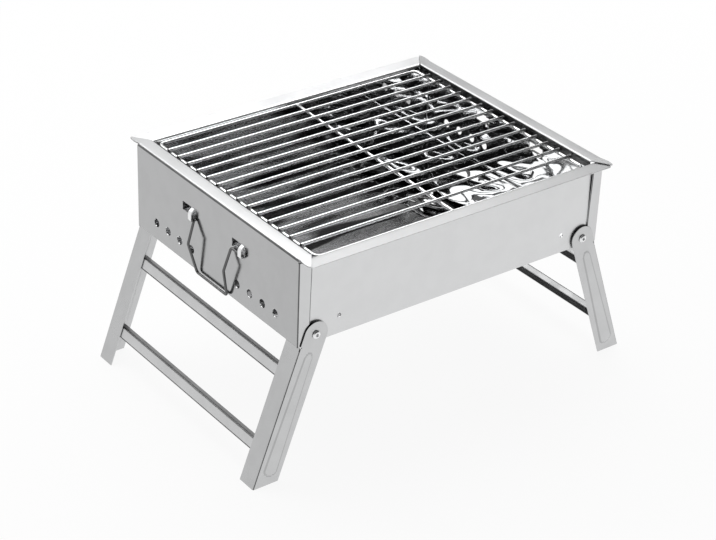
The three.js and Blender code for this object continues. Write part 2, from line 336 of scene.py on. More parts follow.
@dataclass(frozen=True)
class BentSheet:
    """A sheet bent along a centre line and drawn out along an axis, with lightly broken edges."""

    line: Sequence[Sequence[float]]
    thickness: float
    bend: float | Sequence[float]
    axis: Axis
    start: float
    end: float
    pitch: float = 4.0
    along: float = 4.0
    steps: int = 8

    def section(self, line: np.ndarray, half: float) -> np.ndarray:
        """The closed outline round a centre line, half a thickness to each side of it.

        Args:
            line: the centre line.
            half: half the thickness.

        Returns:
            The outline's points.
        """
        runs = np.diff(line, axis=0)
        runs /= np.linalg.norm(runs, axis=1)[:, None]
        before, after = np.vstack([runs[:1], runs]), np.vstack([runs, runs[-1:]])
        middle = before + after
        length = np.linalg.norm(middle, axis=1)[:, None]
        middle /= length
        side = np.stack([-middle[:, 1], middle[:, 0]], axis=1) * half / (length / 2)
        outer, inner = line + side, line - side
        small = max(half - EDGE, 0.02)
        tip_side, root_side = side[-1] / half * small, side[0] / half * small
        tip, root = line[-1], line[0]
        outer[-1] -= runs[-1] * EDGE
        inner[-1] -= runs[-1] * EDGE
        outer[0] += runs[0] * EDGE
        inner[0] += runs[0] * EDGE
        tips, roots = [tip + tip_side, tip - tip_side], [root - root_side, root + root_side]
        return np.vstack([outer, *tips, inner[::-1], *roots])

    def shape(self) -> Shape:
        """The solid of the sheet.

        Returns:
            The solid, with a chamfer at every sheared edge.
        """
        line = divided(rounded(self.line, self.bend, self.steps), self.pitch)
        full, thin = self.section(line, self.thickness / 2), self.section(line, self.thickness / 2 - EDGE)
        stations = steps_between(self.start + EDGE, self.end - EDGE, self.along)
        rings = [lay(self.axis, thin, self.start)]
        rings += [lay(self.axis, full, s) for s in stations]
        rings.append(lay(self.axis, thin, self.end))
        faces = skin(rings)
        count = len(line)
        pairs = [(2 * count + 3, 2 * count + 2)] + [(i, 2 * count + 1 - i) for i in range(count + 1)]
        last = (len(rings) - 1) * len(full)
        for (a, b), (c, d) in zip(pairs[:-1], pairs[1:]):
            faces.append((a, b, d, c))
            faces.append((last + c, last + d, last + b, last + a))
        return Shape(np.concatenate(rings), faces)


def plate(outline: Sequence[Point], axis: Axis, start: float, end: float, edge: float = EDGE) -> Shape:
    """A flat plate of an outline, with lightly broken edges where edge is more than 0.

    Args:
        outline: its corners, in order.
        axis: what it is drawn out along.
        start: where it begins on the axis.
        end: where it ends.
        edge: the chamfer.

    Returns:
        The solid.
    """
    line = np.array(outline, float)
    before, after = line - np.roll(line, 1, axis=0), np.roll(line, -1, axis=0) - line
    before /= np.linalg.norm(before, axis=1)[:, None]
    after /= np.linalg.norm(after, axis=1)[:, None]
    middle = before + after
    length = np.linalg.norm(middle, axis=1)[:, None]
    inward = np.stack([-middle[:, 1], middle[:, 0]], axis=1) / length / (length / 2)
    twice = np.sum(line[:, 0] * np.roll(line[:, 1], -1) - np.roll(line[:, 0], -1) * line[:, 1])
    small = line + inward * edge * math.copysign(1, twice)
    stations = [(small, start), (line, start + edge), (line, end - edge), (small, end)]
    if not edge:
        stations = [(line, start), (line, end)]
    rings = [lay(axis, ring, station) for ring, station in stations]
    size, last = len(line), (len(rings) - 1) * len(line)
    faces = skin(rings) + [tuple(range(size)), tuple(range(last + size - 1, last - 1, -1))]
    return Shape(np.concatenate(rings), faces)


def block(low: Sequence[float], high: Sequence[float]) -> Shape:
    """A plain box between two corners."""
    (x0, y0, z0), (x1, y1, z1) = low, high
    return plate([(x0, y0), (x1, y0), (x1, y1), (x0, y1)], Axis.Z, z0, z1, 0)


def rod(axis: Axis, centre: Sequence[float], radius: float, length: float, sides: int = 48) -> Shape:
    """A plain cylinder.

    Args:
        axis: the direction that it runs in.
        centre: its middle.
        radius: half its width.
        length: from end to end.
        sides: flats round it.

    Returns:
        The solid.
    """
    u, v, w = axis.value
    ring = arc((centre[u], centre[v]), radius, 0, 360 - 360 / sides, sides - 1)
    return plate(ring, axis, centre[w] - length / 2, centre[w] + length / 2, 0)


def turned(profile: Sequence[Point], centre: Point, facing: int, sides: int = 48) -> Shape:
    """A piece turned about a line along Y.

    Args:
        profile: radius and distance along the line, from the axis and back to it, or closed on itself.
        centre: X and Z of the line.
        facing: 1 where the distances run along +Y, and -1 along -Y.
        sides: pieces round the circle.

    Returns:
        The solid.
    """
    points, faces = [], []
    for k in range(sides):
        w = 2 * math.pi * k / sides
        across, up = math.cos(w), math.sin(w)
        points += [(centre[0] + r * across, facing * y, centre[1] + r * up) for r, y in profile]
    count = len(profile)
    for k in range(sides):
        a, b = k * count, (k + 1) % sides * count
        for i in range(count - 1):
            if profile[i][0] or profile[i + 1][0]:
                faces.append((a + i, a + i + 1, b + i + 1, b + i))
    return merged(Shape(np.array(points), faces))


def merged(shape: Shape) -> Shape:
    """Merges points that lie on each other and drops faces that have become flat.

    Args:
        shape: the mesh.

    Returns:
        The cleaned mesh.
    """
    made = bmesh.new()
    points = [made.verts.new(p) for p in shape.points]
    for face in shape.faces:
        made.faces.new([points[i] for i in face])
    bmesh.ops.remove_doubles(made, verts=made.verts, dist=1e-3)
    bmesh.ops.dissolve_degenerate(made, edges=made.edges, dist=1e-4)
    bmesh.ops.recalc_face_normals(made, faces=made.faces)
    made.verts.index_update()
    faces = [tuple(v.index for v in face.verts) for face in made.faces]
    result = Shape(np.array([v.co for v in made.verts]), faces)
    made.free()
    return result


WIRE_CAP = ((0.0, 0.55), (0.12, 0.85), (0.4, 1.0))  # depth and width of a rounded end, in radii


def wire(path: np.ndarray, radius: float, sides: int = 16, closed: bool = False) -> Shape:
    """A round wire along a path, with lightly rounded ends unless it is closed.

    Args:
        path: points of the wire's middle.
        radius: of the wire.
        sides: round the wire.
        closed: True for a loop, whose last point is joined to its first.

    Returns:
        The solid.
    """
    count = len(path)
    nxt = np.roll(path, -1, axis=0) - path
    prv = path - np.roll(path, 1, axis=0)
    if not closed:
        nxt[-1], prv[0] = prv[-1], nxt[0]
    nxt /= np.linalg.norm(nxt, axis=1)[:, None]
    prv /= np.linalg.norm(prv, axis=1)[:, None]
    along = nxt + prv
    along /= np.linalg.norm(along, axis=1)[:, None]
    rings = []
    side = np.array([0.0, 0.0, 1.0] if abs(along[0][2]) < 0.9 else [1.0, 0.0, 0.0])
    angles = np.linspace(0, 2 * math.pi, sides, endpoint=False)
    for i in range(count):
        side = side - along[i] * (side @ along[i])
        side /= np.linalg.norm(side)
        other = np.cross(along[i], side)
        circle = np.outer(np.cos(angles), side) + np.outer(np.sin(angles), other)
        if closed or 0 < i < count - 1:
            rings.append(path[i] + radius * circle)
            continue
        inward = (along[i] if i == 0 else -along[i]) * radius
        ends = [path[i] + inward * depth + radius * share * circle for depth, share in WIRE_CAP]
        rings.extend(ends if i == 0 else reversed(ends))
    faces = skin(rings, closed)
    if not closed:
        last = (len(rings) - 1) * sides
        faces += [tuple(range(sides)), tuple(range(last + sides - 1, last - 1, -1))]
    return Shape(np.concatenate(rings), faces)


def bead(centre: Sequence[float], radii: Sequence[float], rows: int = 7, columns: int = 12) -> Shape:
    """A small squashed ball of weld metal.

    Args:
        centre: its middle.
        radii: half its size along X, Y and Z.
        rows: bands from bottom to top.
        columns: faces round it.

    Returns:
        The solid.
    """
    points = [(0.0, 0.0, -1.0)]
    for i in range(1, rows):
        w = math.pi * i / rows
        circle = arc((0, 0), math.sin(w), 0, 360 - 360 / columns, columns - 1)
        points += [(x, y, -math.cos(w)) for x, y in circle]
    points.append((0.0, 0.0, 1.0))
    faces = [(0, 1 + (k + 1) % columns, 1 + k) for k in range(columns)]
    for i in range(rows - 2):
        a, b = 1 + i * columns, 1 + (i + 1) * columns
        faces += [(a + k, a + (k + 1) % columns, b + (k + 1) % columns, b + k) for k in range(columns)]
    top, last = len(points) - 1, 1 + (rows - 2) * columns
    faces += [(top, last + k, last + (k + 1) % columns) for k in range(columns)]
    return Shape(np.array(points) * np.array(radii) + np.array(centre), faces)


@dataclass(frozen=True)
class Waves:
    """The slight waviness of thin rolled sheet, as a sum of long sine waves in the plane of the sheet."""

    height: float
    shortest: float
    longest: float
    seed: int
    count: int = 14

    def at(self, u: np.ndarray, v: np.ndarray) -> np.ndarray:
        """The height of the waves at points of the sheet.

        Args:
            u: distances one way.
            v: distances the other way.

        Returns:
            The height at each point.
        """
        draw = np.random.default_rng(self.seed)
        total = np.zeros_like(u)
        for _ in range(self.count):
            length = draw.uniform(self.shortest, self.longest)
            turn, phase = draw.uniform(0, math.pi), draw.uniform(0, 2 * math.pi)
            total += np.sin((u * math.cos(turn) + v * math.sin(turn)) * 2 * math.pi / length + phase)
        return self.height * total / math.sqrt(self.count / 2)


# Nodes


@dataclass
class Nodes:
    """Adds nodes to a node tree and links them."""

    tree: bpy.types.NodeTree

    def feed(self, value: object, target: Socket) -> None:
        """Links a socket to an input, or sets the input's own value.

        Args:
            value: the socket, or the number or colour.
            target: the input.
        """
        if isinstance(value, Socket):
            self.tree.links.new(value, target)
        else:
            target.default_value = value

    def add(self, kind: str, inputs: Inputs | None = None, **settings: str) -> bpy.types.Node:
        """Adds a node.

        Args:
            kind: its type, without the start that all of them share.
            inputs: for each input, the socket that feeds it or its own value.
            settings: its options.

        Returns:
            The node.
        """
        node = self.tree.nodes.new(f"ShaderNode{kind}")
        for name, value in settings.items():
            setattr(node, name, value)
        for name, value in (inputs or {}).items():
            self.feed(value, node.inputs[name])
        return node

    def place(self) -> Socket:
        """The point on the piece, in metres."""
        return self.add("TexCoord").outputs["Object"]

    def stretched(self, place: Socket, scale: Sequence[float]) -> Socket:
        """Coordinates scaled along each axis."""
        return self.add("Mapping", {"Vector": place, "Scale": scale}).outputs["Vector"]

    def noise(self, place: Socket, scale: float, detail: float) -> Socket:
        """A noise pattern over a set of coordinates."""
        return self.add("TexNoise", {"Vector": place, "Scale": scale, "Detail": detail}).outputs["Fac"]

    def spread(self, source: Socket, given: Range, wanted: Range = (0.0, 1.0)) -> Socket:
        """Stretches a value from one range to another, and keeps it inside that.

        Args:
            source: the value.
            given: the range that it has.
            wanted: the range that it gets.

        Returns:
            The stretched value.
        """
        limits = dict(zip(("From Min", "From Max", "To Min", "To Max"), (*given, *wanted)))
        return self.add("MapRange", {"Value": source, **limits}).outputs["Result"]

    def worked(self, operation: str, a: Socket, b: Socket) -> Socket:
        """What an arithmetic operation makes of two values."""
        return self.add("Math", {0: a, 1: b}, operation=operation).outputs[0]

    def mixed(self, share: Socket, a: object, b: object, kind: str = "RGBA") -> Socket:
        """The value a, turning into b as the share goes from 0 to 1."""
        return self.add("Mix", {"Factor": share, "A": a, "B": b}, data_type=kind).outputs["Result"]

    def bumped(self, height: float, pattern: Socket, normal: Socket | None = None) -> Socket:
        """Bumps in the surface, over others where there are any.

        Args:
            height: of the bumps, in millimetres.
            pattern: their pattern, from 0 to 1.
            normal: what the other bumps have made.

        Returns:
            The normal that all of them make.
        """
        inputs = {"Strength": 1.0, "Distance": height * MM, "Height": pattern}
        if normal is not None:
            inputs["Normal"] = normal
        return self.add("Bump", inputs).outputs["Normal"]


def opaque(colour: Colour, share: float = 1.0) -> tuple[float, ...]:
    """A share of a colour, for a colour socket."""
    return (*(c * share for c in colour), 1.0)


def grey(value: float) -> Colour:
    """A steel grey, a little cooler than neutral."""
    return (value, value * 1.006, value * 1.012)


# Finishes


@dataclass(frozen=True)
class Metal:
    """A metal finish: grain, cloudy gloss, fine waviness and marks, all from the point on the piece."""

    name: str
    colour: Colour
    roughness: float
    cloud: float = 0.05
    grain: float = 0.0
    grain_way: tuple[float, float, float] = (4.0, 160.0, 160.0)
    ripple: float = 0.0
    ripple_scale: float = 14.0
    marks: float = 0.0
    cloud_scale: float = 22.0
    cloud_range: Range = (0.3, 0.7)
    mark_scale: float = 60.0
    mark_range: Range = (0.38, 0.6)
    grain_scale: float = 10.0

    def material(self) -> bpy.types.Material:
        """The node material of this finish.

        Returns:
            The material, on Blender's principled shader.
        """
        made = bpy.data.materials.new(self.name)
        made.use_nodes = True
        nodes = Nodes(made.node_tree)
        sockets = made.node_tree.nodes["Principled BSDF"].inputs
        place = nodes.place()
        nodes.feed(1.0, sockets["Metallic"])
        nodes.feed(self.gloss(nodes, place), sockets["Roughness"])
        nodes.feed(self.tint(nodes, place), sockets["Base Color"])
        normal = self.relief(nodes, place)
        if normal is not None:
            nodes.feed(normal, sockets["Normal"])
        return made

    def gloss(self, nodes: Nodes, place: Socket) -> Socket:
        """The roughness, in soft clouds.

        Args:
            nodes: the material's nodes.
            place: the point on the piece.

        Returns:
            The roughness.
        """
        clouds = nodes.noise(place, self.cloud_scale, 4.0)
        wanted = (self.roughness - self.cloud, self.roughness + self.cloud)
        return nodes.spread(clouds, self.cloud_range, wanted)

    def tint(self, nodes: Nodes, place: Socket) -> Socket:
        """The colour, darker in the marks."""
        marks = nodes.spread(nodes.noise(place, self.mark_scale, 6.0), self.mark_range)
        return nodes.mixed(marks, opaque(self.colour, 1 - self.marks), opaque(self.colour))

    def relief(self, nodes: Nodes, place: Socket) -> Socket | None:
        """The bumps of long ripples and of the rolled grain, each where the finish has it.

        Args:
            nodes: the material's nodes.
            place: the point on the piece.

        Returns:
            The normal that the bumps make, or None where there are no bumps.
        """
        normal = None
        if self.ripple:
            normal = nodes.bumped(self.ripple, nodes.noise(place, self.ripple_scale, 0.0))
        if self.grain:
            fibres = nodes.noise(nodes.stretched(place, self.grain_way), self.grain_scale, 3.0)
            normal = nodes.bumped(self.grain, fibres, normal)
        return normal


@dataclass(frozen=True)
class HalfDull(Metal):
    """A bright finish whose left half is duller, with long dark painted reflections in that half's colour."""

    dull_colour: Colour = (0.66, 0.66, 0.67)
    dull_roughness: float = 0.18
    # How dark, how stretched and how sharp the painted reflections in the dull half are.
    painted_reflection: float = 0.9
    painted_reflection_way: tuple[float, float, float] = (6.0, 34.0, 1.0)
    painted_reflection_edge: tuple[float, float] = (0.45, 0.49)
    turn: tuple[float, float] = (22.0, 54.0)

    def gloss(self, nodes: Nodes, place: Socket) -> Socket:
        """The roughness, even in the dull half."""
        return self.halves(nodes, place, self.dull_roughness, super().gloss(nodes, place), "FLOAT")

    def tint(self, nodes: Nodes, place: Socket) -> Socket:
        """The colour, with long dark painted reflections in the dull half.

        Args:
            nodes: the material's nodes.
            place: the point on the piece.

        Returns:
            The colour.
        """
        # Painted reflections: stretched noise darkens the dull half's colour in long bands.
        pattern = nodes.noise(nodes.stretched(place, self.painted_reflection_way), 1.0, 1.0)
        painted_reflections = nodes.spread(pattern, self.painted_reflection_edge)
        dull = nodes.mixed(painted_reflections, opaque(self.dull_colour, 1 - self.painted_reflection), opaque(self.dull_colour))
        return self.halves(nodes, place, dull, super().tint(nodes, place), "RGBA")

    def halves(self, nodes: Nodes, place: Socket, dull: object, bright: object, kind: str) -> Socket:
        """Turns from a dull value on the left to a bright one on the right.

        Args:
            nodes: the material's nodes.
            place: the point on the piece.
            dull: the left half's value.
            bright: the right half's value.
            kind: whether they are numbers or colours.

        Returns:
            The value along X.
        """
        x = nodes.add("SeparateXYZ", {0: place}).outputs["X"]
        start, end = self.turn
        return nodes.mixed(nodes.spread(x, (start * MM, end * MM)), dull, bright, kind)


DOWN = (160.0, 160.0, 4.0)  # the grain of a leg runs along it


class Finish(Enum):
    """The finishes of the grill."""

    LONG = Metal("long_panel_sheet", grey(0.68), 0.32, 0.03, grain=0.003, ripple=0.04, marks=0.02)
    # Painted shade: the end walls' outer faces get a darker grey than their own flanges and insides.
    END = Metal("end_panel_sheet", grey(0.43), 0.17, 0.03, grain=0.002, ripple=0.05, marks=0.03)
    FLANGE = Metal("flange_sheet", grey(0.62), 0.3, 0.03, grain=0.003, ripple=0.04, marks=0.02)
    # Painted light and shade on the rims' tops: one sheet, darker greys on the end and front rims, a near-white
    # grey on the back rim.
    END_RIM = Metal("end_rim_sheet", grey(0.56), 0.38, 0.03, grain=0.003, ripple=0.03, marks=0.02)
    FRONT_RIM = Metal("front_rim_sheet", grey(0.48), 0.38, 0.03, grain=0.003, ripple=0.03, marks=0.02)
    BACK_RIM = Metal("back_rim_sheet", grey(0.84), 0.38, 0.03, grain=0.003, ripple=0.03, marks=0.02)
    # Painted highlight: the brackets' straps are near white, lighter than the sheet they are pressed from.
    STRAP = Metal("strap_sheet", grey(0.9), 0.45, 0.05, marks=0.05)
    # Painted shade: the lip's inward face is near black.
    LIP = Metal("lip_sheet", grey(0.12), 0.25, 0.1, marks=0.5)
    # Painted shade and dark reflection: dark lines along bends and sheet edges.
    CREASE = Metal("crease", grey(0.14), 0.35, 0.05, marks=0.2)
    SHADE = Metal("shaded_edge", grey(0.03), 0.5, 0.05, marks=0.2)
    # Painted shade: the rungs' flat upper and lower faces are darker than their webs.
    RUNG_TOP = Metal("rung_top_sheet", grey(0.26), 0.3, 0.05, marks=0.2)
    INNER = Metal("inner_sheet", grey(0.66), 0.04, 0.01, ripple=0.2, ripple_scale=12.0, marks=0.03)
    # The two finishes below carry painted reflections: long dark bands in the colour of their left halves.
    MIRROR = HalfDull("mirror_sheet", grey(0.46), 0.03, 0.008, ripple=0.04, ripple_scale=10.0, marks=0.03)
    LONG_INNER = HalfDull(
        "long_inner_sheet", grey(0.45), 0.03, 0.008, ripple=0.04, ripple_scale=10.0, marks=0.03,
        dull_colour=grey(0.85), dull_roughness=0.12,
        painted_reflection=0.85, painted_reflection_way=(5.0, 1.0, 36.0), painted_reflection_edge=(0.42, 0.47),
    )
    # Painted shade: the bars' cut ends are near black, standing in for the dark gap beside the rim.
    CUT_END = Metal("cut_wire_end", grey(0.05), 0.5, 0.05, marks=0.3)
    LEG = Metal("leg_sheet", grey(0.58), 0.32, 0.04, grain=0.003, grain_way=DOWN, marks=0.04)
    # Painted shade: the slopes of the legs' pressed bands are darker than the face.
    BAND_EDGE = Metal("band_edge_sheet", grey(0.44), 0.32, 0.04, marks=0.04)
    # Painted shade: a leg's end flange, a darker grey than its face of the same sheet.
    LEG_END = Metal("leg_end_sheet", grey(0.5), 0.3, 0.04, grain=0.003, grain_way=DOWN, marks=0.04)
    PLATED = Metal("plated_wire", grey(0.9), 0.24, 0.05, ripple=0.05, ripple_scale=60.0, marks=0.05)
    HANDLE = Metal("handle_wire", grey(0.13), 0.16, 0.04, ripple=0.04, ripple_scale=60.0, marks=0.1)
    RIVET = Metal("rivet_metal", grey(0.88), 0.32, 0.06, ripple=0.05, ripple_scale=90.0, marks=0.1)


Rule = tuple[Finish, Callable[[Vector, Vector], bool]]
FACING = 0.7  # a face looks in a direction where its normal goes at least this far along it


@dataclass
class Workshop:
    """Makes the finishes once, and turns shapes into dressed pieces that ride on their bodies."""

    made: dict[Finish, bpy.types.Material] = field(default_factory=dict)

    def material(self, finish: Finish) -> bpy.types.Material:
        """The material of a finish, made at its first use.

        Args:
            finish: the finish.

        Returns:
            The material.
        """
        if finish not in self.made:
            self.made[finish] = finish.value.material()
        return self.made[finish]

    def piece(
        self, node: str, body: str, shape: Shape, finish: Finish,
        rules: Sequence[Rule] = (), sharp: float = 34.0,
    ) -> None:
        """Makes the piece that stands for a node.

        Args:
            node: the node that it replaces.
            body: the body that it rides on.
            shape: its solid.
            finish: its finish.
            rules: the finishes of faces that have their own.
            sharp: edges that turn more than this many degrees stay sharp.
        """
        item = shape.thing(f"{node}_look")
        item.data.polygons.foreach_set("use_smooth", [True] * len(item.data.polygons))
        item.data.set_sharp_from_angle(angle=math.radians(sharp))
        item.data.materials.append(self.material(finish))
        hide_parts(node)
        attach(item, body)
        self.dress(item.data, rules)
        log.info("%s on %s: %d faces", item.name, body, len(item.data.polygons))

    def dress(self, mesh: bpy.types.Mesh, rules: Sequence[Rule]) -> None:
        """Gives faces their own finishes.

        Args:
            mesh: the piece's mesh.
            rules: each finish with a test of a face's middle, in millimetres, and its normal. Where two
                tests pass, the later one counts.
        """
        for finish, test in rules:
            material = self.material(finish)
            if material.name not in mesh.materials:
                mesh.materials.append(material)
            number = mesh.materials.find(material.name)
            for face in mesh.polygons:
                if test(face.center / MM, face.normal):
                    face.material_index = number


# Fire box


@dataclass(frozen=True)
class BoxSizes:
    """Sizes that the pieces of the fire box share."""

    low: float
    top: float
    panel_x: float
    panel_y: float
    long_rim_z: float
    long_rim_y: float
    ear_y: float
    pan_top: float
    pivot_x: float
    pivot_z: float
    sheet: float = 0.8
    gap: float = 0.3
    bend: float = 1.2
    rim_bend: float = 2.2
    rim_root: tuple[float, float] = (-12.0, 9.0)

    @classmethod
    def from_frame(cls, joints: list[dict]) -> BoxSizes:
        """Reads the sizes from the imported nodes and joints.

        Args:
            joints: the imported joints.

        Returns:
            The sizes.
        """
        low, high = (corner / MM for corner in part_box("back_panel"))
        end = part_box("right_end_panel")[1] / MM
        pivot = next(j for j in joints if j["name"] == "right_leg_fold")["pos_m"]
        return cls(
            low=low.z,
            top=end.z,
            panel_x=high.x,
            panel_y=cls.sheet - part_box("front_panel")[1].y / MM,
            long_rim_z=high.z,
            long_rim_y=high.y,
            ear_y=end.y,
            pan_top=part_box("fire_pan")[1].z / MM,
            pivot_x=pivot[0] / MM,
            pivot_z=pivot[2] / MM,
        )

    @property
    def half_length(self) -> float:
        """Outer face of the end panels."""
        return self.panel_x + self.gap + self.sheet

    @property
    def half_width(self) -> float:
        """Outer face of the wrapped flanges."""
        return self.panel_y + self.gap + self.sheet


@dataclass(frozen=True)
class LongPanel:
    """The front or back wall: a rim turned outward, two pivot holes and two small punched holes."""

    box: BoxSizes
    rim_half: float = 171.5
    rim_corner: float = 3.0
    pivot_hole: float = 2.55
    small_hole: float = 2.2
    small_x: float = 130.0
    small_up: float = 18.7
    rim_drop: float = 0.35
    rim_tilts: tuple[float, float] = (0.0, 2.0)
    waves: Waves = Waves(0.06, 90, 240, 5)
    calm_rim: tuple[float, float] = (4.0, 25.0)
    calm_foot: tuple[float, float] = (0.0, 25.0)
    calm_ends: tuple[float, float] = (14.0, 30.0)

    def shape(self, tilt: float) -> Shape:
        """The solid of the back panel, with its rim tilted a few degrees.

        Args:
            tilt: the rim's outward slope, in degrees.

        Returns:
            The solid.
        """
        b = self.box
        mid, rim = b.panel_y - b.sheet / 2, b.long_rim_z - b.sheet / 2
        line = [(mid, b.low), (mid, rim), (b.long_rim_y, rim)]
        sheet = BentSheet(line, b.sheet, b.rim_bend, Axis.X, -b.panel_x, b.panel_x).shape()
        sheet = sheet.mapped(lambda points: self.sway(points, tilt))
        return sheet.with_tool(Join.CUT, self.cutters())

    def sway(self, points: np.ndarray, tilt: float) -> np.ndarray:
        """Lets the wall wave a little between its edges, and the rim spring back a little from level.

        Args:
            points: the mesh's points.
            tilt: the rim's slope, in degrees.

        Returns:
            The moved points.
        """
        b = self.box
        x, y, z = points.T
        free = clear_of(b.long_rim_z - z, *self.calm_rim) * clear_of(z - b.low, *self.calm_foot)
        free *= clear_of(b.panel_x - np.abs(x), *self.calm_ends)
        rise = math.tan(math.radians(tilt)) * (y - b.long_rim_y)
        moved = points.copy()
        moved[:, 1] += self.waves.at(x, z) * free
        moved[:, 2] += (rise - self.rim_drop) * clear_of(z - b.long_rim_z, *b.rim_root)
        return moved

    def cutters(self) -> Shape:
        """The rim's cut ends with their round corners, and the four holes.

        Returns:
            All of them, not joined.
        """
        b = self.box
        end, past = self.rim_half, self.rim_half + 12
        near, far = b.panel_y - 3, b.long_rim_y + 4
        corner = (end - self.rim_corner, b.long_rim_y - self.rim_corner)
        tail = [(end, near), (past, near), (past, far), (corner[0], far)]
        outline = arc(corner, self.rim_corner, 90, 0, 16) + tail
        pivot = (b.pivot_x, b.pivot_z, self.pivot_hole, 48)
        small = (self.small_x, b.low + self.small_up, self.small_hole, 32)
        tools = []
        for s in (-1, 1):
            mirrored = [(s * x, y) for x, y in outline]
            tools.append(plate(mirrored, Axis.Z, b.long_rim_z - 2.4, b.long_rim_z + 3, 0))
            for x, z, radius, sides in (pivot, small):
                tools.append(rod(Axis.Y, (s * x, b.panel_y, z), radius, 6, sides))
        return tools[0].plus(*tools[1:])

    def build(self, shop: Workshop) -> None:
        """Makes both long panels.

        Args:
            shop: what makes the pieces.
        """
        # The rims' tops are painted: a darker grey in front as shade, a near-white grey behind as light.
        tops = (Finish.FRONT_RIM, Finish.BACK_RIM)
        for (face, sy), tilt, top in zip(FACES.items(), self.rim_tilts, tops):
            shape = self.shape(tilt).mirrored(1, sy)
            rules = self.rules(sy, top)
            shop.piece(f"{face}_panel", "fire_box", shape, Finish.LONG, rules)

    def rules(self, sy: int, top: Finish) -> list[Rule]:
        """The finishes of a long panel's inside and of its rim's top: painted shade in front, painted light
        behind.

        Args:
            sy: -1 for the front panel and 1 for the back one.
            top: the rim's finish, a painted shade in front and a painted light behind.

        Returns:
            Each finish with the test for its faces.
        """
        inner, rim = self.box.panel_y - self.box.sheet / 2, self.box.long_rim_z - 3
        return [
            (Finish.LONG_INNER, lambda c, n: n.y * sy < -FACING and c.y * sy < inner),
            (top, lambda c, n: n.z > 0.3 and c.z > rim),
        ]


